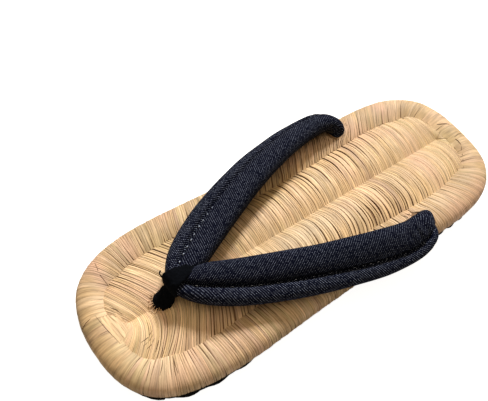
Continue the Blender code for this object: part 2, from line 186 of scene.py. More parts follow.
# How straws lie: lift off the roll, how strongly each stands out, cover of its own strip, widths
# that a slit beside it can have, and the shares of its length near which slits gather
PLAIN_LOOK = {"lift": 0.0, "strength": 1.0, "cover": 1.0, "slits": (0.0,), "flanks": ()}
CLOSE_RIM = {"strength": 0.88, "slits": SLIT_WIDTHS}
LOOSE_RIM = {"strength": 1.35, "slits": LOOSE_SLIT_WIDTHS}
CLOSE_ROLL = {"slits": SLIT_WIDTHS}
SHADED_ROLL = {"slits": SLIT_WIDTHS, "flanks": (0.06, 0.10, 0.57, 0.95)}
LOOSE_ROLL = {"strength": 1.08, "slits": LOOSE_SLIT_WIDTHS, "flanks": (0.05, 0.10, 0.16, 0.24)}
# Where along the shoe the straws of the left rim and of the inner rolls lie loose, and from where
# slits gather on the inner rolls' flanks
LOOSE_RIM_REACH = (-25.0, 66.0)
LOOSE_ROLL_REACH = (30.0, 66.0)
SHADED_ROLL_FROM = -40.0
# How strongly the straws stand out one from another along the shoe: in relief, in tone, and in how
# dark the painted shade at their edges is
LINE_STRENGTH = table(
    "y share",
    (-132.0, 0.45), (-116.0, 0.55), (-100.0, 0.70), (-60.0, 0.90), (-40.0, 0.95), (40.0, 1.0),
    (60.0, 1.1), (76.0, 0.60), (90.0, 0.32), (112.0, 0.22), (132.0, 0.15),
)
# Share of its relief that even the faintest straw keeps
LEAST_RELIEF = 0.35

# Straw colours, and how far a batch is drawn from the common one to its own
STRAW_TONES = {
    "common": Vector((0.75, 0.54, 0.315)),
    "cream": Vector((0.80, 0.59, 0.36)),
    "tan": Vector((0.62, 0.42, 0.215)),
    "honey": Vector((0.68, 0.45, 0.20)),
    "pink": Vector((0.66, 0.415, 0.285)),
    "green": Vector((0.60, 0.48, 0.23)),
    "straw_tip": Vector((0.51, 0.34, 0.155)),
    "pale": Vector((0.62, 0.49, 0.33)),
}
TONE_SHARES = {"cream": 0.40, "tan": 0.22, "honey": 0.20, "pink": 0.11, "green": 0.07}
TONE_PULL = 0.42
BATCH_COUNT = (1, 2)
BATCH_LIGHT = (-0.09, 0.07)
BATCH_LIFT = (-0.12, 0.12)
SHADE_SPREAD = (-0.21, 0.16)
RIM_SHADE = Vector((0.79, 0.79, 0.82))
# Each straw has a number of its own, which sets its fibres apart from its neighbours'
STRAW_NUMBERS = 900
# Slow changes of tone over the whole footbed: size of a patch, and how much lighter or pinker
DRIFT_SIZE = 17.0
DRIFT_LIGHT = 0.11
DRIFT_PINK = 0.9
DRIFT_PINK_SHIFT = Vector((40.0, 0.0, 0.0))
# Places where the straws are drawn towards another tone. Most are tones of the straw's own batches;
# the cream ones at x -13 and 6, on the inner rolls' crowns and lit flanks, are painted light, and the
# tan ones at x -28, -4 and 25 along the valleys and shaded flanks, with the dark tip tone at x -27,
# are painted shade
TONE_LIGHT_AND_SHADE_PATCHES = table(
    "x y reach_x reach_y tone share",
    (-40, -87, 12, 5, "pink", 0.7), (-36, -109, 14, 4, "pink", 0.8), (42, -68, 10, 9, "pink", 0.5),
    (10, -92, 12, 3, "pink", 0.3), (-14, -115, 6, 7, "cream", 0.6), (24, -105, 6, 6, "cream", 0.5),
    (-36, -72, 12, 9, "green", 0.5), (-40, 99, 8, 5, "pink", 0.7), (-36, 73, 8, 6, "pink", 0.6),
    (48, 92, 7, 20, "pink", 0.7), (42, -89, 12, 4, "pink", 0.6), (18, 90, 12, 5, "pink", 0.5),
    (0, 122, 30, 9, "straw_tip", 0.3), (8, -129, 36, 9, "straw_tip", 0.6),
    (-2, 117, 14, 8, "green", 0.4), (9, 5, 9, 26, "pale", 0.8), (6, 50, 7, 9, "cream", 0.6),
    (-27, -10, 6, 20, "straw_tip", 0.6), (-38, 35, 6, 34, "pink", 0.5),
    (-13, 10, 6, 50, "cream", 0.4), (-4, 30, 5, 80, "tan", 0.5), (25, 45, 6, 60, "tan", 0.6),
    (-28, 5, 5, 60, "tan", 0.8),
)

# Broad straws over the toe end of the rim valley: both ends, bow, width and tone
TOE_PATCH = table(
    "from to bow width tone",
    ((-9.4, -113.6), (3.0, -110.6), 0.5, 2.0, "tan"),
    ((-11.0, -115.4), (8.0, -111.9), 0.7, 2.4, "cream"),
    ((-12.4, -117.2), (10.8, -113.9), 0.6, 2.6, "cream"),
    ((-13.4, -119.0), (11.8, -116.0), 0.4, 2.7, "cream"),
    ((-13.8, -120.6), (12.4, -118.2), 0.2, 2.5, "cream"),
)
TOE_PATCH_RINGS = 19
TOE_PATCH_LIFT = 0.15
TOE_PATCH_CROWN = 0.06
TOE_PATCH_PULL = 0.6
# The ends are drawn in and tucked down from this share of the half length on
TOE_PATCH_TUCK_FROM = 0.5
TOE_PATCH_TAPER = 0.85
TOE_PATCH_TUCK = 1.2
EASE_PASSES = 3

# Splits and creases in the straw, painted as thin strips of brown shade: places along each, and its
# width
SPLITS = table(
    "path width",
    (((-7.8, 120.3), (-5.6, 123.8), (-3.4, 127.2)), 0.9),
    (((6.2, 122.0), (5.9, 125.5), (6.2, 129.0)), 0.5),
    (((7.5, 121.4), (9.5, 121.8), (13.0, 121.2)), 0.7),
    (((-2.8, 119.5), (-1.4, 116.0), (0.0, 113.8)), 0.22),
    (((0.2, 114.0), (2.2, 116.0), (4.2, 119.0)), 0.2),
    (((14.0, 120.6), (16.4, 118.4)), 0.35),
    (((18.2, 117.4), (19.6, 116.4)), 0.3),
    (((21.6, 114.9), (23.2, 113.5)), 0.5),
    (((25.6, 111.6), (27.0, 109.6)), 0.35),
    (((-25.6, 107.8), (-24.0, 106.4)), 0.7),
    (((-12.0, -124.8), (-11.6, -128.0), (-10.8, -131.0)), 0.5),
    (((-12.0, -122.0), (-2.0, -120.6), (9.0, -118.3)), 0.35),
    (((-42.0, -107.4), (-33.0, -108.6), (-25.0, -107.6)), 0.5),
    (((-12.8, -113.6), (-9.0, -111.0), (-5.0, -109.6)), 0.4),
    (((12.2, -101.0), (14.4, -104.6), (14.8, -109.4)), 0.5),
    (((14.4, -101.6), (16.4, -105.0), (17.0, -109.0)), 0.35),
    (((16.6, -102.0), (18.6, -105.0), (19.4, -108.4)), 0.35),
    (((17.4, -99.4), (21.4, -103.4), (26.0, -108.6)), 0.45),
    (((20.0, -98.4), (24.0, -101.6), (28.6, -105.6)), 0.35),
    (((28.4, -104.2), (32.0, -106.6), (35.6, -109.8)), 0.5),
    (((26.0, -109.8), (30.0, -113.0), (34.0, -117.0)), 0.4),
    (((30.6, -99.0), (35.0, -100.6), (40.0, -101.6)), 0.45),
    (((31.0, 56.0), (33.2, 57.4), (35.2, 57.8)), 0.5),
    (((31.6, 58.6), (33.4, 60.0), (35.0, 60.4)), 0.6),
    (((32.4, 61.4), (34.0, 62.6), (35.4, 63.0)), 0.5),
    (((-38.6, 59.6), (-36.2, 58.4), (-33.4, 56.2)), 0.6),
    (((-36.4, 61.4), (-34.2, 59.6), (-31.6, 57.4)), 0.5),
    (((-38.8, 56.6), (-36.0, 55.0), (-32.8, 52.6)), 0.5),
)
SPLIT_SECTION = table("across height", (-1, -0.3), (-0.7, 0.12), (0.7, 0.12), (1, -0.3))
SPLIT_STEPS = 6
SPLIT_END_WIDTH = 0.25
# Heights on the straws are found by looking straight down from here
LOOK_DOWN_FROM = 60.0

# Straw ends round the foot of the toe loop, over an arc from +X
STEM_STRAW_COUNT = 13
STEM_STRAW_ARC = (-165, 20)
STEM_STRAW_SCATTER = 0.3
STEM_STRAW_HALF_WIDTH = (0.35, 0.6)
STEM_STRAW_TAPER = 0.55
STEM_STRAW_REACH = (4.6, 5.6)
STEM_STRAW_LENGTH = 2.6
STEM_STRAW_FOOT = 19.9
STEM_STRAW_RISE = (0.8, 1.6)
STEM_STRAW_CROWN = 0.2
STEM_STRAW_RINGS = 6


# Outline and rolls of the footbed


def mix(low, high, share):
    return low + (high - low) * share


def limited(share):
    return max(0.0, min(1.0, share))


def bell(offset):
    """1 at an offset of 0, falling towards 0 on both sides."""
    return math.exp(-offset ** 2)


def signed_power(value, power):
    return math.copysign(abs(value) ** power, value)


def even_shares(count):
    """Even steps from 0 to 1."""
    return [index / (count - 1) for index in range(count)]


def circle(count):
    """Cosine and sine of even turns round a circle."""
    turns = [2 * math.pi * step / count for step in range(count)]
    return [(math.cos(turn), math.sin(turn)) for turn in turns]


def direction(degrees):
    """Level direction at an angle from +X."""
    turn = math.radians(degrees)
    return Vector((math.cos(turn), math.sin(turn)))


def turned(way):
    """A level direction turned a quarter to the left."""
    return Vector((-way.y, way.x))


def table_value(rows, column, y):
    """Value of a column at a place along the shoe, between the rows of a table."""
    if y <= rows[0]["y"]:
        return rows[0][column]
    for before, after in zip(rows, rows[1:]):
        if y <= after["y"]:
            return mix(before[column], after[column], (y - before["y"]) / (after["y"] - before["y"]))
    return rows[-1][column]


def smooth_row(rows, share):
    """Row at a share of the way through a table, on a smooth curve through each column."""
    place = limited(share) * (len(rows) - 1)
    index = min(int(place), len(rows) - 2)
    t = place - index
    nearby = [rows[min(max(index + step, 0), len(rows) - 1)] for step in (-1, 0, 1, 2)]
    between = {}
    for name in rows[0]:
        a, b, c, d = [row[name] for row in nearby]
        curve = 2 * b + (c - a) * t + (2 * a - 5 * b + 4 * c - d) * t ** 2
        between[name] = 0.5 * (curve + (3 * b - a - 3 * c + d) * t ** 3)
    return between


def outline_at(angle):
    """Point of the footbed's outline at an angle from +X."""
    power = HEEL_SQUARENESS if math.sin(angle) > 0 else TOE_SQUARENESS
    along = signed_power(math.sin(angle), 2 / power)
    across = signed_power(math.cos(angle), 2 / power)
    half = MIDDLE_HALF_WIDTH * (1 - TOE_LEAN * along + END_FLARE * along * along)
    return Vector((half * across, LENGTH / 2 * along))


def walk_outline():
    """Points round the outline from the toe's middle along the right side, and the way walked."""
    turn = 2 * math.pi / TRACK_STEPS
    points = [outline_at(-math.pi / 2 + turn * step) for step in range(TRACK_STEPS + 1)]
    walked = [0.0]
    for before, after in zip(points, points[1:]):
        walked.append(walked[-1] + (after - before).length)
    return points, walked


TRACK, WALKED = walk_outline()
PERIMETER = WALKED[-1]


def outline_place(distance):
    """Point of the outline at a distance round it, and its inward normal."""
    distance = distance % PERIMETER
    step = min(bisect.bisect_right(WALKED, distance) - 1, TRACK_STEPS - 1)
    share = (distance - WALKED[step]) / (WALKED[step + 1] - WALKED[step])
    point = TRACK[step].lerp(TRACK[step + 1], share)
    ahead = TRACK[(step + 1 + NORMAL_STEPS) % TRACK_STEPS]
    behind = TRACK[(step - NORMAL_STEPS) % TRACK_STEPS]
    return point, turned((ahead - behind).normalized())


def end_rise(y):
    """How far the sole lifts off the floor towards the toe and the heel."""
    height = 0.0
    for row in END_RISES:
        share = max(0.0, (y - row["start"]) / (row["tip"] - row["start"]))
        height += row["rise"] * share * share
    return height


def waist(y):
    """1 at the middle of the shoe, falling towards 0 at its ends."""
    return bell(y / WAIST_HALF_LENGTH)


def side_of(point):
    return "left" if point.x < 0 else "right"


def rim_slant(point):
    """How far a rim straw runs round the outline for each millimetre across the roll."""
    return math.tan(math.radians(table_value(RIM_SLANT, side_of(point), point.y)))


def line_strength(y):
    """How strongly the straws stand out one from another at a place along the shoe."""
    return table_value(LINE_STRENGTH, "share", y)


def tip_share(point):
    """1 at the middle of the toe and heel tips, 0 along the sides."""
    return limited((abs(point.y) - TIP_FROM) / (LENGTH / 2 - TIP_FROM))


def narrowed(inset, point):
    """An inset from the outline, less at the toe and heel tips."""
    beyond = max(0.0, inset - NARROW_FROM_INSET)
    return inset - beyond * TIP_NARROWING * tip_share(point)


def rim_point(distance, share):
    """Point of the rim roll: a distance round the outline, and a share of the way over the roll."""
    row = smooth_row(RIM_PROFILE, share)
    base = outline_place(distance)[0]
    lean = rim_slant(base) * (CROWN_INSET - row["inset"])
    towards_heel = 1.0 if base.x > 0 else -1.0
    point, inward = outline_place(distance + lean * towards_heel)
    inset = narrowed(row["inset"], point) - row["waist_out"] * waist(point.y)
    if point.x > 0:
        near = bell((point.y - BARE_TREAD["y"]) / BARE_TREAD["reach"])
        inset += BARE_TREAD["back"] * near * max(0.0, 1 - 2 * share)
    place = point + inward * inset
    fill = TIP_VALLEY_FILL * tip_share(point) * max(0.0, share * 2 - 1) ** 3
    return Vector((place.x, place.y, row["height"] + fill + end_rise(place.y)))


def rim_valley(distance):
    """Place of the rim valley, inwards of the outline's point at this distance."""
    point, inward = outline_place(distance)
    return point + inward * narrowed(RIM_PROFILE[-1]["inset"], point)


def arch_at(start):
    """How far a straw that starts here in the rim valley bows towards the heel."""
    growing = limited((start.y - ARCH_FROM) / (ARCH_FULL - ARCH_FROM))
    fading = limited((ARCH_UNTIL - start.y) / (ARCH_UNTIL - ARCH_FADE_FROM))
    return ARCH[side_of(start)] * growing * fading


def inner_point(distance, share):
    """Point of an inner roll: from the rim valley at a distance round the outline, inwards."""
    start = rim_valley(distance)
    middle_y = start.y + table_value(CHEVRON, "rise", start.y)
    middle_y = max(CENTRE_VALLEY_TOE_END, min(CENTRE_VALLEY_HEEL_END, middle_y))
    bend = table_value(BEND, side_of(start), start.y)
    y = middle_y + (start.y - middle_y) * (1 - share) ** bend
    y += arch_at(start) * (1 - abs(2 * share - 1) ** ARCH_POWER)
    reach = Vector((start.x, start.y - middle_y)).length
    rim_height = RIM_VALLEY_HEIGHT + TIP_VALLEY_FILL * tip_share(outline_place(distance)[0])
    crown = INNER_CROWN_HEIGHT - mix(rim_height, CENTRE_VALLEY_HEIGHT, 0.5)
    crown *= min(1.0, reach / FULL_CROWN_REACH) * (1 - abs(2 * share - 1) ** INNER_ROLL_POWER)
    z = mix(rim_height, CENTRE_VALLEY_HEIGHT, share) + crown
    return Vector((start.x * (1 - share), y, z + end_rise(y)))


def parted(point, sides):
    """The point moved aside where its straw passes a strap hole, on the side given for each hole."""
    for hole, side in zip(HOLES, sides):
        run = direction(hole["run"])
        square = turned(run)
        offset = Vector((point.x - hole["x"], point.y - hole["y"]))
        along = offset.dot(run)
        aside = offset.dot(square)
        if abs(along) >= hole["radius"] or abs(aside) > PARTING_REACH:
            continue
        clear = hole["radius"] ** 2 - along ** 2
        clear *= max(0.0, 1 - (aside / PARTING_REACH) ** 2)
        moved = side * math.sqrt(max(0.0, side * aside) ** 2 + clear)
        point = point + (square * (moved - aside)).to_3d()
    return point


def hole_sides(path):
    """For each strap hole, the side on which a straw with this path passes it."""
    sides = []
    for hole in HOLES:
        middle = Vector((hole["x"], hole["y"]))
        nearest = min(path, key=lambda point: (point.to_2d() - middle).length)
        aside = (nearest.to_2d() - middle).dot(turned(direction(hole["run"])))
        sides.append(1.0 if aside > 0 else -1.0)
    return sides


def past_holes(left, right):
    """Both edges of a straw, moved aside where it passes a strap hole."""
    sides = hole_sides([(a + b) / 2 for a, b in zip(left, right)])
    return [[parted(point, sides) for point in edge] for edge in (left, right)]


def wandered(point):
    """The point after a slow drift along the shoe, which keeps neighbours in order."""
    place = Vector((point.x * WANDER_ACROSS, point.y * WANDER_ALONG, WANDER_LEVEL))
    return point + Vector((0.0, noise.noise(place) * WANDER, 0.0))


# Making a piece


def mirrored(points, flip):
    """The points of the right arm, or with a flip of -1 those of the left one."""
    return [Vector((flip * point.x, point.y, point.z)) for point in points]


def turn_outwards(data, join=0.0):
    """Turn a mesh's faces outwards, after joining near points and filling holes where asked."""
    mesh = bmesh.new()
    mesh.from_mesh(data)
    if join:
        bmesh.ops.remove_doubles(mesh, verts=mesh.verts, dist=join * MM)
        bmesh.ops.holes_fill(mesh, edges=[edge for edge in mesh.edges if edge.is_boundary])
    bmesh.ops.recalc_face_normals(mesh, faces=mesh.faces)
    mesh.to_mesh(data)
    mesh.free()


def add_object(name, data):
    item = bpy.data.objects.new(name, data)
    bpy.context.collection.objects.link(item)
    return item


class Piece:
    """Vertices, faces and named values of one piece while it is made."""

    def __init__(self, name):
        self.name = name
        self.points = []
        self.faces = []
        self.places = []
        self.tones = []

    def add_point(self, point, place=(0, 0, 0), tone=(1, 1, 1, 1)):
        self.points.append(point)
        self.places.append(place)
        self.tones.append(tone)
        return len(self.points) - 1

    def add_ring(self, points, place=(0, 0, 0)):
        return [self.add_point(point, place) for point in points]

    def add_tube(self, rings, closed=True):
        """Faces between rings of point numbers, with the two ends covered where it is closed."""
        for before, after in zip(rings, rings[1:]):
            count = len(before)
            for index in range(count):
                following = (index + 1) % count
                self.faces.append((before[index], before[following], after[following], after[index]))
        if closed:
            self.faces.append(tuple(reversed(rings[0])))
            self.faces.append(tuple(rings[-1]))

    def make(self, material, node):
        """The finished object, in metres, on the sandal's one body and in place of its solid."""
        data = bpy.data.meshes.new(self.name)
        data.from_pydata([tuple(point * MM) for point in self.points], [], self.faces)
        places = data.attributes.new("place", "FLOAT_VECTOR", "POINT")
        places.data.foreach_set("vector", [value for place in self.places for value in place])
        tones = data.attributes.new("tone", "FLOAT_COLOR", "POINT")
        tones.data.foreach_set("color", [value for tone in self.tones for value in tone])
        turn_outwards(data)
        data.shade_smooth()
        data.set_sharp_from_angle(angle=math.radians(SMOOTH_ANGLE))
        data.materials.append(material)
        item = add_object(self.name, data)
        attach(item, BODY)
        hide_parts(node)
        return item


# Woven footbed


def straw_batches(draw):
    """One look after another for the straws; a few neighbours, split from one leaf, share theirs."""
    while True:
        chosen = draw.choices(list(TONE_SHARES), TONE_SHARES.values())[0]
        colour = STRAW_TONES["common"].lerp(STRAW_TONES[chosen], TONE_PULL)
        colour *= 1 + draw.uniform(*BATCH_LIGHT)
        lift = draw.uniform(*BATCH_LIFT)
        for _ in range(draw.randint(*BATCH_COUNT)):
            yield {"colour": colour, "lift": lift}


def straw_tone(point, colour):
    """Colour of a straw at a place: its own, drawn towards the tone of the patch it lies in, some of
    which are painted light and some painted shade.
    """
    place = point / DRIFT_SIZE
    colour = colour * (1 + DRIFT_LIGHT * noise.noise(place))
    pinker = limited(DRIFT_PINK * noise.noise(place + DRIFT_PINK_SHIFT))
    colour = colour.lerp(STRAW_TONES["pink"], pinker)
    # Cream patches paint light on the inner rolls' crowns, tan ones paint shade along their valleys
    for patch in TONE_LIGHT_AND_SHADE_PATCHES:
        near = bell((point.x - patch["x"]) / patch["reach_x"])
        near *= bell((point.y - patch["y"]) / patch["reach_y"])
        colour = colour.lerp(STRAW_TONES[patch["tone"]], patch["share"] * near)
    return colour


def draw_slit(draw, look, strength):
    """A thin gap beside a straw: place and reach as shares of its length, width and side."""
    place = draw.random()
    if look["flanks"] and draw.random() < FLANK_CHANCE:
        place = draw.choice(look["flanks"]) + draw.uniform(*FLANK_SPREAD)
    return {
        "place": place,
        "reach": draw.uniform(*SLIT_LENGTH),
        "width": draw.choice(look["slits"]) * strength,
        "side": draw.choice((-1, 1)),
    }


def add_straw(piece, left, right, draw, look):
    """One straw as a thin closed ribbon between two edge paths."""
    look = {**PLAIN_LOOK, **look}
    middle = [(a + b) / 2 for a, b in zip(left, right)]
    number = draw.random() * STRAW_NUMBERS
    strength = line_strength(middle[len(middle) // 2].y) * look["strength"]
    relief = min(1.0, mix(LEAST_RELIEF, 1.0, strength))
    shade = 1 + draw.uniform(*SHADE_SPREAD) * strength
    tilt = draw.uniform(-STRAW_TILT, STRAW_TILT) * look["crown"]
    slit = draw_slit(draw, look, strength)
    walked = 0.0
    rings = []
    for index, share in enumerate(even_shares(len(middle))):
        before = middle[max(index - 1, 0)]
        after = middle[min(index + 1, len(middle) - 1)]
        walked += (middle[index] - before).length
        along = (after - before).normalized()
        across = right[index] - left[index]
        across -= along * across.dot(along)
        width = across.length
        across.normalize()
        up = across.cross(along)
        gap = slit["width"] * bell((share - slit["place"]) / slit["reach"])
        half = max(LEAST_HALF_WIDTH, (width * look["cover"] - gap) / 2)
        centre = middle[index] + across * (slit["side"] * gap / 2)
        crown = look["crown"] * min(1.0, width / FULL_CROWN_WIDTH)
        # The tone's last value is the straw's strength, which sets how dark the painted shade at its
        # edges is
        tone = (*straw_tone(centre, look["colour"]) * shade, strength)
        ring = []
        for row in STRAW_SECTION:
            height = relief * (look["lift"] + tilt * row["across"] + crown * row["height"])
            point = centre + across * (half * row["across"]) + up * height
            ring.append(piece.add_point(point, (walked, row["across"], number), tone))
        rings.append(ring)
    piece.add_tube(rings)


def rim_edge(start, shares, skew):
    """Edge of a straw over the rim roll, a little out of line by the skew."""
    return [wandered(rim_point(start + skew * (2 * share - 1), share)) for share in shares]


def lay_rim_straws(material):
    """Straws over the rim roll, side by side all the way round."""
    draw = random.Random(SEEDS["rim"])
    piece = Piece("rim_straws")
    looks = straw_batches(draw)
    start = 0.0
    while start < PERIMETER:
        broad = mix(1.0, BROAD_AT_TIPS, tip_share(outline_place(start)[0]))
        width = min(draw.uniform(*RIM_STRAW_WIDTH) * broad, PERIMETER - start)
        tuck = 1 + draw.uniform(*RIM_TUCK)
        shares = [share * tuck for share in even_shares(RIM_RINGS)]
        skew = draw.uniform(-STRAW_SKEW, STRAW_SKEW)
        left = rim_edge(start, shares, skew)
        right = rim_edge(start + width, shares, skew)
        crown = draw.uniform(*STRAW_CROWN) / broad
        cover = draw.uniform(*STRAW_COVER)
        middle = left[len(left) // 2]
        loose = middle.x < 0 and LOOSE_RIM_REACH[0] < middle.y < LOOSE_RIM_REACH[1]
        look = {**next(looks), **(LOOSE_RIM if loose else CLOSE_RIM), "crown": crown, "cover": cover}
        look["colour"] = look["colour"] * RIM_SHADE
        add_straw(piece, *past_holes(left, right), draw, look)
        start += width
    return piece.make(material, "woven_footbed")


def under_rim(end, before):
    """The end of an inner straw carried on under the rim roll."""
    step = (end - before).normalized() * UNDER_RIM_REACH
    return Vector((end.x + step.x, end.y + step.y, end.z - UNDER_RIM_DROP))


def inner_edge(distance, skew):
    """Edge of a straw across both inner rolls, from the right rim valley to the left one."""
    shares = [0.5 - 0.5 * math.cos(math.pi * share) for share in even_shares(INNER_RINGS)]
    right = [inner_point(distance, share) for share in shares]
    left = [inner_point(PERIMETER - distance, share) for share in shares]
    path = right + list(reversed(left[:-1]))
    path = [under_rim(path[0], path[1]), *path, under_rim(path[-1], path[-2])]
    lean = 2 * skew / MIDDLE_HALF_WIDTH
    return [wandered(point) + Vector((0.0, lean * point.x, 0.0)) for point in path]


def roll_look(y):
    """How the straws of the inner rolls lie at a place along the shoe."""
    if LOOSE_ROLL_REACH[0] < y < LOOSE_ROLL_REACH[1]:
        return LOOSE_ROLL
    return SHADED_ROLL if y > SHADED_ROLL_FROM else CLOSE_ROLL


def lay_inner_straws(material):
    """Straws across the two inner rolls, which kink at the centre valley."""
    draw = random.Random(SEEDS["inner"])
    piece = Piece("inner_straws")
    looks = straw_batches(draw)
    start = FIRST_INNER_STRAW
    while start < PERIMETER / 2 - FIRST_INNER_STRAW:
        width = draw.uniform(*INNER_STRAW_WIDTH)
        skew = draw.uniform(-STRAW_SKEW, STRAW_SKEW)
        skew *= min(1.0, line_strength(rim_valley(start).y))
        edge = inner_edge(start, skew)
        next_edge = inner_edge(start + width, skew)
        crown = draw.uniform(*STRAW_CROWN)
        look = {**next(looks), **roll_look(edge[0].y), "crown": crown}
        look["cover"] = draw.uniform(*STRAW_COVER)
        add_straw(piece, *past_holes(edge, next_edge), draw, look)
        start += width
    return piece.make(material, "woven_footbed")


def surface_tree(items):
    """Search tree over the faces of some pieces, in millimetres."""
    points = []
    faces = []
    for item in items:
        first = len(points)
        points.extend(vert.co / MM for vert in item.data.vertices)
        faces.extend([first + number for number in face.vertices] for face in item.data.polygons)
    return BVHTree.FromPolygons(points, faces)


def drop_onto(tree, place):
    """Height of the highest straw at a place."""
    hit = tree.ray_cast(Vector((place.x, place.y, LOOK_DOWN_FROM)), Vector((0.0, 0.0, -1.0)))[0]
    return hit.z if hit is not None else RIM_VALLEY_HEIGHT


def ease_heights(edge):
    """Even out the heights along a path."""
    for _ in range(EASE_PASSES):
        heights = [point.z for point in edge]
        for index in range(1, len(edge) - 1):
            edge[index].z = (heights[index - 1] + heights[index] * 2 + heights[index + 1]) / 4


def lay_toe_patch(material, below):
    """Broad straws laid over the toe end of the rim valley, which hide it there."""
    draw = random.Random(SEEDS["toe"])
    piece = Piece("toe_straws")
    for row in TOE_PATCH:
        first = Vector(row["from"])
        last = Vector(row["to"])
        aside = turned((last - first).normalized())
        edges = ([], [])
        for share in even_shares(TOE_PATCH_RINGS):
            middle = first.lerp(last, share) + aside * row["bow"] * 4 * share * (1 - share)
            beyond = max(0.0, abs(2 * share - 1) - TOE_PATCH_TUCK_FROM)
            tuck = (beyond / (1 - TOE_PATCH_TUCK_FROM)) ** 2
            height = drop_onto(below, middle) + TOE_PATCH_LIFT - TOE_PATCH_TUCK * tuck
            half = row["width"] / 2 * (1 - TOE_PATCH_TAPER * tuck)
            for edge, side in zip(edges, (-1, 1)):
                place = middle + aside * side * half
                edge.append(Vector((place.x, place.y, height)))
        for edge in edges:
            ease_heights(edge)
        colour = STRAW_TONES["common"].lerp(STRAW_TONES[row["tone"]], TOE_PATCH_PULL)
        add_straw(piece, *edges, draw, {"colour": colour, "crown": TOE_PATCH_CROWN})
    return piece.make(material, "woven_footbed")


def lay_splits(material, below):
    """Creases and splits where a straw has cracked or its end shows, laid as thin strips of painted
    brown shade.
    """
    piece = Piece("straw_splits")
    for row in SPLITS:
        path = [Vector(place) for place in row["path"]]
        parts = len(path) - 1
        rings = []
        for share in even_shares(SPLIT_STEPS * parts + 1):
            part = min(int(share * parts), parts - 1)
            run = path[part + 1] - path[part]
            place = path[part] + run * (share * parts - part)
            aside = turned(run.normalized())
            half = row["width"] / 2 * mix(SPLIT_END_WIDTH, 1.0, math.sin(math.pi * share))
            height = drop_onto(below, place)
            ring = []
            for corner in SPLIT_SECTION:
                edge = (place + aside * half * corner["across"]).to_3d()
                edge.z = height + corner["height"]
                ring.append(edge)
            rings.append(piece.add_ring(ring))
        piece.add_tube(rings)
    return piece.make(material, "woven_footbed")


def lay_stem_straws(material):
    """Short straw ends that stand up against the foot of the toe loop."""
    draw = random.Random(SEEDS["stem"])
    piece = Piece("stem_straws")
    foot = Vector((HOLES[0]["x"], HOLES[0]["y"], STEM_STRAW_FOOT))
    for step in range(STEM_STRAW_COUNT):
        place = step + draw.uniform(-STEM_STRAW_SCATTER, STEM_STRAW_SCATTER)
        way = direction(mix(*STEM_STRAW_ARC, place / STEM_STRAW_COUNT)).to_3d()
        aside = turned(way).to_3d() * draw.uniform(*STEM_STRAW_HALF_WIDTH)
        reach = draw.uniform(*STEM_STRAW_REACH)
        rise = draw.uniform(*STEM_STRAW_RISE)
        edges = ([], [])
        for share in even_shares(STEM_STRAW_RINGS):
            out = mix(reach + STEM_STRAW_LENGTH, reach, share)
            middle = foot + way * out + Vector((0, 0, rise * share ** 2))
            for edge, side in zip(edges, (-1, 1)):
                edge.append(middle + aside * side * (1 - STEM_STRAW_TAPER * share))
        add_straw(piece, *edges, draw, {"colour": STRAW_TONES["tan"], "crown": STEM_STRAW_CROWN})
    return piece.make(material, "woven_footbed")


def core_rings(distances):
    """Rings of points just under the straws, from the foot of the rim to the centre valley."""
    rings = []
    for share in even_shares(CORE_RIM_RINGS):
        sunk = Vector((0.0, 0.0, CORE_BELOW if share > 0 else 0.0))
        ring = []
        for distance in distances:
            inward = outline_place(distance)[1].to_3d() * CORE_BELOW
            ring.append(rim_point(distance, share) + inward - sunk)
        rings.append(ring)
    for step in range(1, CORE_INNER_RINGS + 1):
        share = step / (CORE_INNER_RINGS + CORE_STOP_SHORT)
        rings.append([inner_point(distance, share) - sunk for distance in distances])
    return rings


def make_core(material):
    """The stuffed body of the footbed, just under the straws."""
    piece = Piece("footbed_core")
    distances = [PERIMETER * index / CORE_AROUND for index in range(CORE_AROUND)]
    rings = [piece.add_ring(ring) for ring in core_rings(distances)]
    piece.add_tube(rings, closed=False)
    piece.faces.append(tuple(reversed(rings[0])))
    centre = rings[-1]
    half = CORE_AROUND // 2
    for index in range(1, half - 1):
        pair = (centre[index], centre[index + 1])
        piece.faces.append((*pair, centre[-index - 1], centre[-index]))
    piece.faces.append((centre[0], centre[1], centre[-1]))
    piece.faces.append((centre[half - 1], centre[half], centre[half + 1]))
    return piece.make(material, "woven_footbed")


# V strap: sections of the right arm from the fold to the rear hole, as in the model
REAR_HOLE = (40.2, 63.2)
STRAP_SECTIONS = table(
    "x y z roll width crown under groove sunk",
    (-5.0, -76.2, 30.6, 10, 12.0, 5.4, 4.8, 0.5, 1.5),
    (3.5, -73.2, 31.0, 10, 16.5, 6.0, 5.6, 1.0, 3.0),
    (11.2, -62.6, 30.9, 9, 23.6, 6.3, 5.8, 2.2, 4.4),
    (23.4, -40.0, 30.5, 15, 26.6, 6.3, 6.0, 3.2, 4.6),
    (37.1, -7.0, 29.8, 25, 26.8, 6.3, 5.8, 3.6, 4.6),
    (45.8, 23.5, 27.3, 36, 26.2, 6.3, 5.4, 4.2, 4.4),
    (49.1, 45.0, 25.0, 38, 23.6, 6.2, 4.6, 4.4, 3.4),
    (47.6, 57.5, 25.0, 33, 19.9, 6.0, 4.2, 3.6, 2.0),
    (43.4, 63.6, 21.2, 18, 14.4, 5.0, 4.6, 1.0, 0.4),
    (*REAR_HOLE, 13.5, 0, 11.6, 5.2, 5.2, 0.0, 0.0),
    (*REAR_HOLE, 7.6, 0, 10.6, 4.8, 4.8, 0.0, 0.0),
)
STRAP_RINGS = 190
# Both arms are joined where their points are this near
STRAP_JOIN = 0.02
LOBE_ROUNDNESS = 2.3
OUTER_LOBE_CROWN = 0.8
LOBE_STEPS = 16
UNDERSIDE_STEPS = 16
UNDERSIDE_ACROSS_POWER = 0.8
UNDERSIDE_DOWN_POWER = 0.7

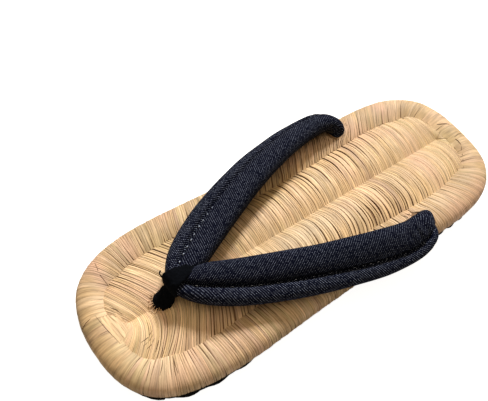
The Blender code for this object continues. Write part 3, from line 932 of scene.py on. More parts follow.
# Seam in the strap's groove
STITCH_PITCH = 4.8
STITCH_FIRST = 14.0
STITCH_LAST = 128.0
STITCH_RADIUS = 0.26
STITCH_RINGS = 7
STITCH_SIDES = 6
STITCH_SWAY = 0.06
# How far a stitch's ends dip, and how much thinner they are
STITCH_DIP = 0.6
STITCH_TAPER = 0.5
# Stitches of each arm: their length, and how far they stand out of the groove
ARM_STITCHES = table("flip length proud", (1, 2.3, -0.9), (-1, 1.3, 0.1))
# Sharp line at the bottom of the groove, full where the groove is sunk this far
GROOVE_LINE_DEPTH = 0.95
GROOVE_LINE_WIDTH = 1.0
GROOVE_LINE_FULL_SUNK = 3.0
# Puckers at the stitches
PUCKER_DEPTH = 0.22
PUCKER_REACH = 3.0
PUCKER_MARGIN = 4.0

# Creases in the strap: place along the arm and across it, run, size and depth
CREASES = table(
    "along across turn long wide deep",
    (10.0, -5.0, 10, 6.0, 1.2, 0.5), (9.0, 4.5, -14, 6.0, 1.1, 0.5), (13.0, -2.0, 6, 5.0, 1.0, 0.3),
    (136.0, -4.5, 78, 5.0, 1.4, 0.45), (142.0, -1.5, 86, 7.0, 1.3, 0.6),
    (147.5, 0.5, 92, 8.0, 1.2, 0.6), (131.0, 5.0, 70, 4.0, 1.5, 0.35),
)

# Slow unevenness of the padding; each arm, named by its flip, has its own level in the noise
LUMP_DEPTH = 0.28
LUMP_ALONG = 0.055
LUMP_ACROSS = 0.11
UNDERSIDE_LUMP_SHARE = 0.3
ARM_LUMPS = ((1, 7.0), (-1, 12.0))

# Black band under the strap: share of the strap's width, depths, and shares of the arm's length
LINING_SHARE = 0.62
LINING_BELOW = 0.25
LINING_THICK = 0.6
LINING_FIRST = 0.16
LINING_LAST = 0.80
LINING_EVERY = 2
LINING_POINTS = 11

# Toe loop, as in the model
LOOP_CENTRE_Y = -72.9
LOOP_CENTRE_Z = 30.8
LOOP_HALF_LENGTH = 9.2
LOOP_HALF_HEIGHT = 6.2
LOOP_SQUARENESS = 2.5
LOOP_BACK_DROP = 1.2
LOOP_THICKNESS = 3.4
LOOP_EDGE_POWER = 0.75
LOOP_STEPS = 72
LOOP_SIDES = 28
LOOP_FRONT_WIDTH = 13.0
LOOP_BACK_WIDTH = 4.0
STEM_SECTIONS = table(
    "y z radius",
    (-88.0, 7.6, 4.9), (-87.8, 15.0, 5.3), (-87.2, 20.0, 6.0),
    (-85.2, 23.5, 5.0), (-82.2, 27.0, 4.5), (-79.4, 32.0, 4.0),
)
STEM_RINGS = 34
STEM_SIDES = 36

# Velvet of the toe loop: the grid of its skin, its unevenness, and its pile
SKIN_GRID = 0.42
EASE_SKIN_PASSES = 3
PILE_UNEVEN = 0.35
SMALL_SWELL = 0.9
SMALL_SWELL_SHARE = 0.6
BROAD_SWELL = 0.35
SWELL_ABOVE = 12.0
PILE_COUNT = 3200
PILE_ABOVE = 21.5
PILE_LENGTH = (0.3, 0.7)
PILE_LEAN = 0.45
PILE_DROOP = 0.5
PILE_ROOT = 0.15
PILE_RADIUS = 0.09
PILE_SIDES = 3

# Loose end of black thread beside the toe loop
THREAD_TAIL = table(
    "x y z radius", (-5.5, -81.5, 30.5, 0.5), (-7.6, -82.6, 31.0, 0.5), (-9.0, -82.8, 32.4, 0.55),
    (-9.3, -81.9, 33.4, 0.6))
THREAD_TAIL_RINGS = 8
THREAD_TAIL_SIDES = 6
THREAD_TAIL_TILT = Vector((0.0, 0.6, 0.8))


def lobe_reach(height):
    """Half width of a rounded lobe at a share of its height, as a share of its own."""
    return (1 - height ** LOBE_ROUNDNESS) ** (1 / LOBE_ROUNDNESS)


def lobe_arc(left, right, crown, meet_left, meet_right):
    """Points over one lobe, on a rounded arch that starts and ends at shares of its height."""
    middle = (left + right) / 2
    half = (right - left) / 2
    first = math.pi - math.asin(meet_left ** (LOBE_ROUNDNESS / 2))
    last = math.asin(meet_right ** (LOBE_ROUNDNESS / 2))
    points = []
    for share in even_shares(LOBE_STEPS + 1):
        angle = mix(first, last, share)
        across = signed_power(math.cos(angle), 2 / LOBE_ROUNDNESS)
        height = signed_power(math.sin(angle), 2 / LOBE_ROUNDNESS)
        points.append((middle + half * across, crown * height))
    return points


def strap_section(row):
    """Closed section of the strap: two lobes over the groove, and a flatter underside."""
    half = row["width"] / 2
    groove = row["groove"]
    crown = row["crown"]
    outer_crown = crown * OUTER_LOBE_CROWN
    floor = min(outer_crown, max(0.0, crown - max(0.0, row["sunk"])))
    inner_half = (groove + half) / (1 + lobe_reach(floor / crown))
    outer_half = (half - groove) / (1 + lobe_reach(floor / outer_crown))
    inner = lobe_arc(-half, -half + 2 * inner_half, crown, 0.0, floor / crown)
    outer = lobe_arc(half - 2 * outer_half, half, outer_crown, floor / outer_crown, 0.0)
    under = []
    for step in range(1, UNDERSIDE_STEPS):
        angle = -math.pi * step / UNDERSIDE_STEPS
        across = signed_power(math.cos(angle), UNDERSIDE_ACROSS_POWER)
        down = signed_power(math.sin(angle), UNDERSIDE_DOWN_POWER)
        under.append((half * across, row["under"] * down))
    return inner + outer[1:] + under


def strap_frames():
    """Places along the right arm: the section's sizes, its middle, and the ways across, up and on."""
    rows = [smooth_row(STRAP_SECTIONS, share) for share in even_shares(STRAP_RINGS)]
    middles = [Vector((row["x"], row["y"], row["z"])) for row in rows]
    frames = []
    walked = 0.0
    for index, row in enumerate(rows):
        behind = middles[max(index - 1, 0)]
        run = (middles[min(index + 1, STRAP_RINGS - 1)] - behind).normalized()
        walked += (middles[index] - behind).length
        down = max(0.0, -run.z)
        outward = run.cross(Vector((0.0, down, 1.0 - down))).normalized()
        upward = outward.cross(run)
        roll = math.radians(row["roll"])
        wide = outward * math.cos(roll) - upward * math.sin(roll)
        face = outward * math.sin(roll) + upward * math.cos(roll)
        ways = {"middle": middles[index], "wide": wide, "face": face, "run": run, "along": walked}
        frames.append({**row, **ways})
    return frames


def crease_depth(along, across):
    """How far the denim sinks at a place on the arm, for its creases."""
    depth = 0.0
    for crease in CREASES:
        cosine = math.cos(math.radians(crease["turn"]))
        sine = math.sin(math.radians(crease["turn"]))
        ahead = along - crease["along"]
        aside = across - crease["across"]
        run = ahead * cosine + aside * sine
        side = aside * cosine - ahead * sine
        depth += crease["deep"] * bell(run / crease["long"]) * bell(side / crease["wide"])
    return depth


def pucker_depth(along, from_groove):
    """Stitches pull the denim in; between them it puffs out a little."""
    if not STITCH_FIRST - PUCKER_MARGIN < along < STITCH_LAST + PUCKER_MARGIN:
        return 0.0
    wave = math.cos(2 * math.pi * (along - STITCH_FIRST) / STITCH_PITCH)
    return PUCKER_DEPTH * wave * bell(from_groove / PUCKER_REACH)


def sunk_at(place, across, on_top, lumps):
    """How far the denim lies inside its plain section, for creases, stitches and unevenness."""
    lump = noise.noise(Vector((place["along"] * LUMP_ALONG, across * LUMP_ACROSS, lumps)))
    if not on_top:
        return LUMP_DEPTH * UNDERSIDE_LUMP_SHARE * lump
    from_groove = across - place["groove"]
    line = GROOVE_LINE_DEPTH * min(1.0, place["sunk"] / GROOVE_LINE_FULL_SUNK)
    sunk = crease_depth(place["along"], across) + pucker_depth(place["along"], from_groove)
    return sunk + line * bell(from_groove / GROOVE_LINE_WIDTH) + LUMP_DEPTH * lump


def arm_ring(place, lumps):
    """Ring of points round an arm, with their places on the cloth: along, around, from the groove."""
    section = strap_section(place)
    around = 0.0
    ring = []
    for index, (a, b) in enumerate(section):
        before = section[index - 1]
        after = section[(index + 1) % len(section)]
        if index > 0:
            around += math.dist(before, (a, b))
        outward = Vector((before[1] - after[1], after[0] - before[0])).normalized()
        sunk = sunk_at(place, a, index <= 2 * LOBE_STEPS, lumps)
        a -= outward.x * sunk
        b -= outward.y * sunk
        point = place["middle"] + place["wide"] * a + place["face"] * b
        ring.append((point, (place["along"], around, a - place["groove"])))
    return ring


def make_strap(material):
    """The padded denim tube, folded at the toe loop, with a stitched groove along each arm."""
    frames = strap_frames()
    piece = Piece("strap_padding")
    for flip, lumps in ARM_LUMPS:
        rings = []
        for place in frames:
            ring = arm_ring(place, lumps)
            # A ring wholly past the middle of the fold is left to the other arm
            if max(point.x for point, _ in ring) <= 0:
                continue
            numbers = []
            for point, (along, around, from_groove) in ring:
                moved = Vector((flip * max(0.0, point.x), point.y, point.z))
                numbers.append(piece.add_point(moved, (along, -around * flip, from_groove)))
            rings.append(numbers)
        piece.add_tube(rings, closed=False)
        piece.faces.append(tuple(rings[-1]))
    strap = piece.make(material, "strap")
    turn_outwards(strap.data, STRAP_JOIN)
    return frames


def add_stitch(piece, place, arm, sway):
    """One stitch in the groove, whose ends dip into the denim."""
    floor = place["crown"] - place["sunk"]
    base = place["middle"] + place["wide"] * place["groove"] + place["face"] * floor
    run = place["run"] + place["wide"] * sway
    rings = []
    for step in even_shares(STITCH_RINGS):
        share = 2 * step - 1
        centre = base + run * share * arm["length"] / 2
        centre += place["face"] * (arm["proud"] - STITCH_DIP * share ** 4)
        radius = STITCH_RADIUS * (1 - STITCH_TAPER * share ** 6)
        ring = []
        for cosine, sine in circle(STITCH_SIDES):
            ring.append(centre + (place["wide"] * cosine + place["face"] * sine) * radius)
        rings.append(piece.add_ring(mirrored(ring, arm["flip"])))
    piece.add_tube(rings)


def make_stitches(frames, material):
    """Running stitches along the bottom of the groove."""
    piece = Piece("strap_stitches")
    draw = random.Random(SEEDS["stitches"])
    for arm in ARM_STITCHES:
        along = STITCH_FIRST
        while along < STITCH_LAST:
            place = next(place for place in frames if place["along"] >= along)
            add_stitch(piece, place, arm, draw.uniform(-STITCH_SWAY, STITCH_SWAY))
            along += STITCH_PITCH
    return piece.make(material, "strap")


def lining_section(place):
    """Closed section of the band that follows the strap's underside."""
    upper = []
    for step in even_shares(LINING_POINTS):
        share = mix(-LINING_SHARE, LINING_SHARE, step)
        angle = math.acos(abs(share) ** (1 / UNDERSIDE_ACROSS_POWER))
        down = math.sin(angle) ** UNDERSIDE_DOWN_POWER
        upper.append((place["width"] / 2 * share, -place["under"] * down - LINING_BELOW))
    return upper + [(a, b - LINING_THICK) for a, b in reversed(upper)]


def make_lining(frames, material):
    """Black cloth band along the underside of each arm."""
    piece = Piece("strap_lining")
    first = int(LINING_FIRST * STRAP_RINGS)
    last = int(LINING_LAST * STRAP_RINGS)
    for flip in (1, -1):
        rings = []
        for place in frames[first:last:LINING_EVERY]:
            section = lining_section(place)
            ring = [place["middle"] + place["wide"] * a + place["face"] * b for a, b in section]
            rings.append(piece.add_ring(mirrored(ring, flip), (place["along"], 0, 0)))
        piece.add_tube(rings)
    return piece.make(material, "strap")


def toe_loop_rings():
    """Rings of points round the loop, whose band is broad at the front and narrow at the back."""
    rings = []
    for cosine, sine in circle(LOOP_STEPS):
        along = signed_power(cosine, 2 / LOOP_SQUARENESS)
        up = signed_power(sine, 2 / LOOP_SQUARENESS)
        y = LOOP_CENTRE_Y + LOOP_HALF_LENGTH * along
        z = LOOP_CENTRE_Z + LOOP_HALF_HEIGHT * up - LOOP_BACK_DROP * along
        outward = Vector((0.0, cosine * LOOP_HALF_HEIGHT, sine * LOOP_HALF_LENGTH)).normalized()
        width = mix(LOOP_BACK_WIDTH, LOOP_FRONT_WIDTH, (1 - along) / 2)
        ring = []
        for side_cosine, side_sine in circle(LOOP_SIDES):
            across = signed_power(side_cosine, LOOP_EDGE_POWER) * width / 2
            out = signed_power(side_sine, LOOP_EDGE_POWER) * LOOP_THICKNESS / 2
            ring.append(Vector((across, y, z)) + outward * out)
        rings.append(ring)
    return rings


def stem_rings():
    """Rings of points round the stem, from its foot in the front hole up into the loop."""
    rings = []
    for share in even_shares(STEM_RINGS):
        row = smooth_row(STEM_SECTIONS, share)
        middle = Vector((0.0, row["y"], row["z"]))
        rings.append([middle + Vector((c, s, 0.0)) * row["radius"] for c, s in circle(STEM_SIDES)])
    return rings


def one_skin(item):
    """Turn the overlapping forms of an object into one even skin, and return its mesh."""
    change = item.modifiers.new("one_skin", "REMESH")
    change.mode = "VOXEL"
    change.voxel_size = SKIN_GRID * MM
    ease = item.modifiers.new("ease", "SMOOTH")
    ease.iterations = EASE_SKIN_PASSES
    bpy.context.view_layer.update()
    shaped = item.evaluated_get(bpy.context.evaluated_depsgraph_get())
    data = bpy.data.meshes.new_from_object(shaped)
    item.modifiers.clear()
    item.data = data
    return data


def make_toe_loop(material):
    """Velvet band round the fold of the strap, and its stem down into the front hole."""
    piece = Piece("toe_loop_band")
    band = [piece.add_ring(ring) for ring in toe_loop_rings()]
    piece.add_tube(band + band[:1], closed=False)
    piece.add_tube([piece.add_ring(ring) for ring in stem_rings()])
    loop = piece.make(material, "toe_loop")
    skin = one_skin(loop)
    for vert in skin.vertices:
        place = vert.co / MM
        swell = noise.noise(place * SMALL_SWELL) * SMALL_SWELL_SHARE
        swell += noise.noise(place * BROAD_SWELL)
        if place.z > SWELL_ABOVE:
            vert.co += vert.normal * swell * PILE_UNEVEN * MM
    skin.shade_smooth()
    skin.materials.clear()
    skin.materials.append(material)
    return loop


def add_tuft(piece, face, draw):
    """One tuft of pile on a face of the velvet: a thin pointed cone that leans at random."""
    root = face.center / MM
    lean = Vector((draw.gauss(0, 1), draw.gauss(0, 1), draw.gauss(0, 1) - PILE_DROOP)) * PILE_LEAN
    way = (face.normal + lean).normalized()
    length = draw.uniform(*PILE_LENGTH)
    side = way.orthogonal().normalized()
    other = way.cross(side)
    foot = root - face.normal * PILE_ROOT
    points = [foot + (side * c + other * s) * PILE_RADIUS for c, s in circle(PILE_SIDES)]
    ring = piece.add_ring(points)
    tip = piece.add_point(root + way * length)
    piece.faces.append(tuple(reversed(ring)))
    for index in range(PILE_SIDES):
        piece.faces.append((ring[index], ring[(index + 1) % PILE_SIDES], tip))


def add_thread_tail(piece):
    """A loose end of black thread beside the toe loop."""
    rings = []
    for share in even_shares(THREAD_TAIL_RINGS):
        row = smooth_row(THREAD_TAIL, share)
        middle = Vector((row["x"], row["y"], row["z"]))
        ring = []
        for cosine, sine in circle(THREAD_TAIL_SIDES):
            offset = Vector((cosine, 0.0, 0.0)) + THREAD_TAIL_TILT * sine
            ring.append(middle + offset * row["radius"])
        rings.append(piece.add_ring(ring))
    piece.add_tube(rings)


def make_pile(loop, material):
    """Short tufts that stand out of the velvet and soften its outline."""
    piece = Piece("toe_loop_pile")
    draw = random.Random(SEEDS["pile"])
    faces = [face for face in loop.data.polygons if face.center.z / MM > PILE_ABOVE]
    for _ in range(PILE_COUNT):
        add_tuft(piece, draw.choice(faces), draw)
    add_thread_tail(piece)
    return piece.make(material, "toe_loop")


# Materials

WHITE = (1.0, 1.0, 1.0)
# Dark and light colour of each mottled finish
# The underlayer's dark browns are painted shade for the insides of the slits between straws
SHADED_UNDERLAYER = ((0.16, 0.08, 0.035), (0.30, 0.17, 0.075))
INDIGO_DENIM = ((0.0008, 0.0017, 0.0090), (0.315, 0.36, 0.485))
BLACK_CLOTH = ((0.004, 0.004, 0.005), (0.02, 0.02, 0.022))
BLACK_VELVET = ((0.001, 0.0015, 0.002), (0.005, 0.006, 0.009))
BLACK_RUBBER = ((0.004, 0.004, 0.004), (0.010, 0.010, 0.010))
# Painted shade multiplied into the edges of each straw, where the gaps between straws fall dark
STRAW_EDGE_SHADE = (0.26, 0.14, 0.06)
SPLIT_SHADE_BROWN = (0.10, 0.05, 0.02)
GREY_THREAD = (0.50, 0.56, 0.70)
VELVET_SHEEN = (0.5, 0.6, 0.8)

# Straw: how much its fibres and its slow blotches lighten or darken it
FIBRE_CONTRAST = 1.2
BLOTCH_CONTRAST = 0.7
BLOTCH_LENGTH = 14.0
# Painted shade at the edges of a straw, where the gaps between straws fall dark: how thin it is, and
# how it comes and goes along the straw
EDGE_POWER = 3.5
EDGE_FADE_LENGTH = 7.0
EDGE_FADE_FROM = 0.30
EDGE_FADE_GAIN = 4.0
EDGE_NUMBER_SHIFT = 50.0

# Twill: the way across its rows, as parts along and round the arm, where a row starts, and how far
# its threads are shifted from those of the row before
TWILL_ACROSS = (0.80, 0.60)
TWILL_ROW_START = 0.25
TWILL_ROW_SHIFT = 0.37
# How small the threads that show are, and how many of them are bright
THREAD_POWER = 3.0
ROW_POWER = 5.0
CHANCE_POWER = 0.9
# More threads show on the outer lobe
INNER_LOBE_THREADS = 0.9
OUTER_LOBE_MORE = 0.3
FINE_GRAIN_SHARE = 0.05


class NodeValue:
    """What a node puts out; the signs of arithmetic between two of them add a maths node."""

    def __init__(self, tree, socket):
        self.tree = tree
        self.socket = socket

    def __add__(self, other):
        return maths(self.tree, "ADD", self, other)

    def __sub__(self, other):
        return maths(self.tree, "SUBTRACT", self, other)

    def __mul__(self, other):
        return maths(self.tree, "MULTIPLY", self, other)

    def __truediv__(self, other):
        return maths(self.tree, "DIVIDE", self, other)

    def __pow__(self, other):
        return maths(self.tree, "POWER", self, other)


def feed(socket, value):
    """Give a socket a plain number, a colour, or what another node puts out."""
    if isinstance(value, NodeValue):
        value.tree.links.new(value.socket, socket)
    elif isinstance(value, tuple):
        socket.default_value = (*value, 1.0)
    else:
        socket.default_value = value


def feed_all(sockets, values):
    """Feed sockets by their names, in which _ stands for a space."""
    for name, value in values.items():
        feed(sockets[name.replace("_", " ")], value)


def node_value(tree, kind, output=0, inputs=(), **settings):
    """What a new node puts out at one output, with its inputs fed by name or number."""
    node = tree.nodes.new(kind)
    for name, value in settings.items():
        setattr(node, name, value)
    for name, value in dict(inputs).items():
        feed(node.inputs[name], value)
    return NodeValue(tree, node.outputs[output])


def maths(tree, operation, *values):
    return node_value(tree, "ShaderNodeMath", inputs=enumerate(values), operation=operation)


def joined(tree, *parts):
    return node_value(tree, "ShaderNodeCombineXYZ", inputs=enumerate(parts))


def scaled(tree, vector, factor):
    inputs = {0: vector, "Scale": factor}
    return node_value(tree, "ShaderNodeVectorMath", inputs=inputs, operation="SCALE")


def mix_colours(tree, share, first, second, blend="MIX"):
    inputs = {0: share, 6: first, 7: second}
    return node_value(tree, "ShaderNodeMix", 2, inputs, data_type="RGBA", blend_type=blend)


def noise_value(tree, vector, detail, roughness=0.5):
    inputs = {"Vector": vector, "Scale": 1.0, "Detail": detail, "Roughness": roughness}
    return node_value(tree, "ShaderNodeTexNoise", "Fac", inputs)


def camera_ray(tree):
    """1 where the camera looks straight at a surface or at the background, else 0."""
    return node_value(tree, "ShaderNodeLightPath", "Is Camera Ray")


def place_values(tree):
    """The three place values that the points of a straw or of the cloth carry."""
    place = node_value(tree, "ShaderNodeAttribute", "Vector", attribute_name="place")
    parts = tree.nodes.new("ShaderNodeSeparateXYZ")
    feed(parts.inputs[0], place)
    return [NodeValue(tree, socket) for socket in parts.outputs]


def new_group(name, inputs):
    """A shader node group, and its inputs by name, each made with the value it starts from."""
    tree = bpy.data.node_groups.new(name, "ShaderNodeTree")
    for socket_name, value in inputs.items():
        socket = tree.interface.new_socket(socket_name, in_out="INPUT", socket_type="NodeSocketFloat")
        socket.default_value = value
    node = tree.nodes.new("NodeGroupInput")
    return tree, {name: NodeValue(tree, node.outputs[name]) for name in inputs}


def finish_group(tree, **results):
    """The group, after each result is led to an output of its own name."""
    for name in results:
        tree.interface.new_socket(name, in_out="OUTPUT", socket_type="NodeSocketFloat")
    feed_all(tree.nodes.new("NodeGroupOutput").inputs, results)
    return tree


def grain_group():
    """Fine unevenness of a surface, from its place on the sandal in millimetres."""
    tree, given = new_group("surface_grain", {"Grain size": 1.0, "Spread": 1.0})
    place = node_value(tree, "ShaderNodeTexCoord", "Object")
    grains = scaled(tree, place, maths(tree, "DIVIDE", 1 / MM, given["Grain size"]))
    grain = noise_value(tree, grains, 3.0, 0.6) - 0.5
    return finish_group(tree, Value=grain * given["Spread"])


def streak_group():
    """Fibres that run along a straw, its slow blotches, and the painted shade at its edges."""
    tree, given = new_group("straw_fibres", {"Fineness": 3.0, "Length": 9.0})
    along, across, number = place_values(tree)
    fibres = joined(tree, along / given["Length"], across * given["Fineness"], number)
    fibre = noise_value(tree, fibres, 2.0, 0.6) - 0.5
    blotch = noise_value(tree, joined(tree, along / BLOTCH_LENGTH, 0.0, number), 1.0) - 0.5
    side = maths(tree, "SIGN", across)
    fades = joined(tree, along / EDGE_FADE_LENGTH, side, number + EDGE_NUMBER_SHIFT)
    dark = noise_value(tree, fades, 1.0) - EDGE_FADE_FROM
    dark = maths(tree, "MINIMUM", maths(tree, "MAXIMUM", dark, 0.0) * EDGE_FADE_GAIN, 1.0)
    edge = maths(tree, "ABSOLUTE", across) ** EDGE_POWER * dark
    return finish_group(tree, Fibre=fibre, Blotch=blotch, Edge=edge)


def twill_group():
    """Slanting rows of short threads on cloth, which mirror each other at the groove."""
    tree, given = new_group("twill_weave", {"Row pitch": 1.5, "Thread pitch": 0.9})
    along, around, from_groove = place_values(tree)
    around = around * maths(tree, "SIGN", from_groove)
    row_place = (along * TWILL_ACROSS[0] + around * TWILL_ACROSS[1]) / given["Row pitch"]
    level = around * TWILL_ACROSS[0] - along * TWILL_ACROSS[1]
    row_number = maths(tree, "FLOOR", row_place + TWILL_ROW_START)
    thread_place = level / given["Thread pitch"] + row_number * TWILL_ROW_SHIFT
    row = maths(tree, "SINE", row_place * (2 * math.pi)) * 0.5 + 0.5
    thread = maths(tree, "SINE", maths(tree, "FRACT", thread_place) * math.pi)
    cell = joined(tree, row_number, maths(tree, "FLOOR", thread_place))
    chance = node_value(tree, "ShaderNodeTexWhiteNoise", "Value", {"Vector": cell})
    outer = maths(tree, "GREATER_THAN", from_groove, 0.0)
    speck = thread ** THREAD_POWER * chance ** CHANCE_POWER * row ** ROW_POWER
    speck = speck * (outer * OUTER_LOBE_MORE + INNER_LOBE_THREADS)
    return finish_group(tree, Row=row, Speck=speck)


def new_material(name, **values):
    """A material, its node tree and its shader's sockets, with plain values set on these."""
    material = bpy.data.materials.new(name)
    material.use_nodes = True
    tree = material.node_tree
    sockets = tree.nodes["Principled BSDF"].inputs
    feed_all(sockets, values)
    return material, tree, sockets


def place_group(tree, group, **values):
    """What a group puts out, by name, where it is placed with values of its own."""
    node = tree.nodes.new("ShaderNodeGroup")
    node.node_tree = group
    feed_all(node.inputs, values)
    return {socket.name: NodeValue(tree, socket) for socket in node.outputs}


def mottle(sockets, share, colours):
    """Base colour between a dark and a light one."""
    feed(sockets["Base Color"], mix_colours(share.tree, share, *colours))


def add_bump(sockets, height, distance, strength):
    """Low relief that a height gives the surface, up to a distance in millimetres."""
    inputs = {"Strength": strength, "Distance": distance * MM, "Height": height}
    feed(sockets["Normal"], node_value(height.tree, "ShaderNodeBump", inputs=inputs))


def straw_material(groups):
    """Dried split straw with a soft natural shine."""
    material, tree, sockets = new_material("dried_straw", Roughness=0.6, Specular_IOR_Level=0.3)
    tone = node_value(tree, "ShaderNodeAttribute", "Color", attribute_name="tone")
    line = node_value(tree, "ShaderNodeAttribute", "Alpha", attribute_name="tone")
    fibres = place_group(tree, groups["fibres"], Fineness=1.7, Length=9.0)
    grain = place_group(tree, groups["grain"], Grain_size=30.0, Spread=0.3)
    light = fibres["Fibre"] * FIBRE_CONTRAST + 1.0 + fibres["Blotch"] * BLOTCH_CONTRAST
    shaded = scaled(tree, tone, light + grain["Value"])
    # Painted shade at the straw's edges, darker where the straw stands out more
    edge = maths(tree, "MINIMUM", fibres["Edge"] * line, 1.0)
    feed(sockets["Base Color"], mix_colours(tree, edge, shaded, STRAW_EDGE_SHADE, "MULTIPLY"))
    add_bump(sockets, fibres["Fibre"], distance=0.2, strength=0.6)
    return material


def split_material():
    """Brown shade inside a crease or split."""
    return new_material("straw_shadow_brown", Roughness=0.9, Base_Color=SPLIT_SHADE_BROWN)[0]


def thread_material():
    """Pale grey thread of the stitches."""
    return new_material("grey_thread", Roughness=0.8, Base_Color=GREY_THREAD)[0]


def core_material(groups):
    """Straw underlayer, seen only in the slits, in dark browns that are painted shade for the insides
    of the slits.
    """
    material, tree, sockets = new_material("shaded_straw_underlayer", Roughness=0.8)
    grain = place_group(tree, groups["grain"], Grain_size=3.0, Spread=0.8)["Value"]
    mottle(sockets, grain + 0.5, SHADED_UNDERLAYER)
    return material


def denim_material(groups):
    """Dark indigo denim with pale threads showing through."""
    material, tree, sockets = new_material("indigo_denim", Roughness=0.9, Specular_IOR_Level=0.04)
    twill = place_group(tree, groups["twill"], Row_pitch=1.15, Thread_pitch=0.9)
    broad = place_group(tree, groups["grain"], Grain_size=9.0, Spread=0.15)["Value"]
    fine = place_group(tree, groups["grain"], Grain_size=0.7, Spread=1.0)["Value"]
    share = twill["Speck"] * (broad + 1.0) + fine * FINE_GRAIN_SHARE
    mottle(sockets, maths(tree, "MAXIMUM", share, 0.0), INDIGO_DENIM)
    add_bump(sockets, twill["Row"] + twill["Speck"], distance=0.18, strength=0.8)
    return material


def lining_material(groups):
    """Plain black cloth of the band under the strap."""
    material, tree, sockets = new_material("black_cloth", Roughness=0.9)
    twill = place_group(tree, groups["twill"], Row_pitch=0.7, Thread_pitch=0.5)
    mottle(sockets, twill["Speck"], BLACK_CLOTH)
    add_bump(sockets, twill["Row"], distance=0.1, strength=0.6)
    return material


def velvet_material(groups):
    """Deep black velvet with a faint blue sheen."""
    material, tree, sockets = new_material(
        "black_velvet", Roughness=0.95, Specular_IOR_Level=0.02,
        Sheen_Weight=0.02, Sheen_Roughness=0.35, Sheen_Tint=VELVET_SHEEN)
    grain = place_group(tree, groups["grain"], Grain_size=1.2, Spread=1.0)["Value"]
    mottle(sockets, grain + 0.5, BLACK_VELVET)
    add_bump(sockets, grain, distance=0.3, strength=0.6)
    return material


def rubber_material(groups):
    """Matt black moulded rubber."""
    material, tree, sockets = new_material("black_rubber", Roughness=0.9, Specular_IOR_Level=0.08)
    grain = place_group(tree, groups["grain"], Grain_size=1.6, Spread=1.0)["Value"]
    mottle(sockets, grain + 0.5, BLACK_RUBBER)
    add_bump(sockets, grain, distance=0.2, strength=0.5)
    return material


# Camera, floor and light

# Camera's lens and stand, and where the shoe lies in front of it; these angles are in radians
FOCAL_LENGTH = 49.775
SENSOR_WIDTH = 36.0
CAMERA_HEIGHT = 354.017
CAMERA_PITCH = 0.9806449
CAMERA_ROLL = 0.0156807
SHOE_X = 28.2157
SHOE_Y = 207.2352
SHOE_TURN = -0.9899181
NEAREST_SEEN = 10.0

# Floor: a mid grey with a glow that only the camera sees
FLOOR_HALF_SIZE = 1500.0
FLOOR_GREY = (0.55, 0.55, 0.55)
FLOOR_GLOW = 0.92

# Lights: a soft key from the left of the heel, a warm panel overhead and a weak warm fill all round
KEY_STRENGTH = 4.1
KEY_SOFTNESS = 14.0
KEY_FROM = (-0.47, 0.57, 0.68)
OVERHEAD_STRENGTH = 3.8
OVERHEAD_SIZE = 1200.0
OVERHEAD_HEIGHT = 900.0
FILL_STRENGTH = 0.18
FILL_COLOUR = (1.0, 0.82, 0.58)


def in_shoe(x, y, z):
    """A direction or place as the camera's stand gives it, in the shoe's own frame."""
    cosine = math.cos(SHOE_TURN)
    sine = math.sin(SHOE_TURN)
    return Vector((x * cosine + y * sine, -x * sine + y * cosine, z))


def add_camera():
    """Camera at the photo's height and angle to the shoe."""
    ahead = in_shoe(0, math.cos(CAMERA_PITCH), -math.sin(CAMERA_PITCH))
    level = in_shoe(1, 0, 0)
    above = in_shoe(0, math.sin(CAMERA_PITCH), math.cos(CAMERA_PITCH))
    right = level * math.cos(CAMERA_ROLL) - above * math.sin(CAMERA_ROLL)
    up = level * math.sin(CAMERA_ROLL) + above * math.cos(CAMERA_ROLL)
    stand = Matrix((right, up, -ahead)).transposed().to_4x4()
    stand.translation = in_shoe(-SHOE_X, -SHOE_Y, CAMERA_HEIGHT) * MM
    lens = bpy.data.cameras.new("photo_camera")
    lens.sensor_width = SENSOR_WIDTH
    lens.lens = FOCAL_LENGTH
    lens.clip_start = NEAREST_SEEN * MM
    camera = add_object("photo_camera", lens)
    camera.matrix_world = stand
    bpy.context.scene.camera = camera


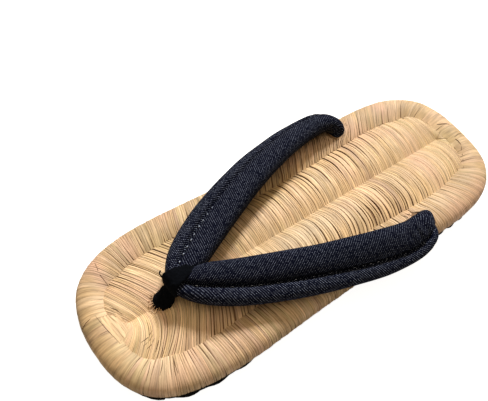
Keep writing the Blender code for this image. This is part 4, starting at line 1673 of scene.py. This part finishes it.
def add_floor():
    """Plain floor, seen as white by the camera only, so that it throws little light back."""
    half = FLOOR_HALF_SIZE * MM
    data = bpy.data.meshes.new("floor")
    corners = [(-half, -half, 0), (half, -half, 0), (half, half, 0), (-half, half, 0)]
    data.from_pydata(corners, [], [(0, 1, 2, 3)])
    material, tree, sockets = new_material(
        "white_floor", Roughness=0.9, Base_Color=FLOOR_GREY, Emission_Color=WHITE)
    feed(sockets["Emission Strength"], camera_ray(tree) * FLOOR_GLOW)
    data.materials.append(material)
    add_object("floor", data)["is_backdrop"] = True


def add_lights():
    """Key light, overhead panel and the fill of the studio round them."""
    sun = bpy.data.lights.new("key_light", "SUN")
    sun.energy = KEY_STRENGTH
    sun.angle = math.radians(KEY_SOFTNESS)
    key = add_object("key_light", sun)
    key.rotation_mode = "QUATERNION"
    key.rotation_quaternion = Vector(KEY_FROM).to_track_quat("Z", "Y")
    panel = bpy.data.lights.new("overhead_light", "AREA")
    panel.energy = OVERHEAD_STRENGTH
    panel.color = FILL_COLOUR
    panel.size = OVERHEAD_SIZE * MM
    add_object("overhead_light", panel).location = (0.0, 0.0, OVERHEAD_HEIGHT * MM)
    world = bpy.data.worlds.new("studio")
    world.use_nodes = True
    tree = world.node_tree
    seen = camera_ray(tree)
    background = tree.nodes["Background"].inputs
    feed(background["Color"], mix_colours(tree, seen, FILL_COLOUR, WHITE))
    feed(background["Strength"], maths(tree, "MAXIMUM", seen, FILL_STRENGTH))
    bpy.context.scene.world = world


def main():
    groups = {"grain": grain_group(), "fibres": streak_group(), "twill": twill_group()}
    straw = straw_material(groups)
    make_core(core_material(groups))
    woven = [lay_rim_straws(straw), lay_inner_straws(straw)]
    below = surface_tree(woven)
    lay_toe_patch(straw, below)
    lay_splits(split_material(), below)
    lay_stem_straws(straw)
    frames = make_strap(denim_material(groups))
    make_stitches(frames, thread_material())
    make_lining(frames, lining_material(groups))
    velvet = velvet_material(groups)
    make_pile(make_toe_loop(velvet), velvet)
    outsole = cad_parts["outsole"]
    outsole.data.materials.clear()
    outsole.data.materials.append(rubber_material(groups))
    add_floor()
    add_camera()
    add_lights()
    bpy.context.scene.view_settings.view_transform = "Standard"


main()

sizes = {"cad": cad_bounds, "visual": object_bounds()}
{name: [[float(v) for v in corner] for corner in box] for name, box in sizes.items()}
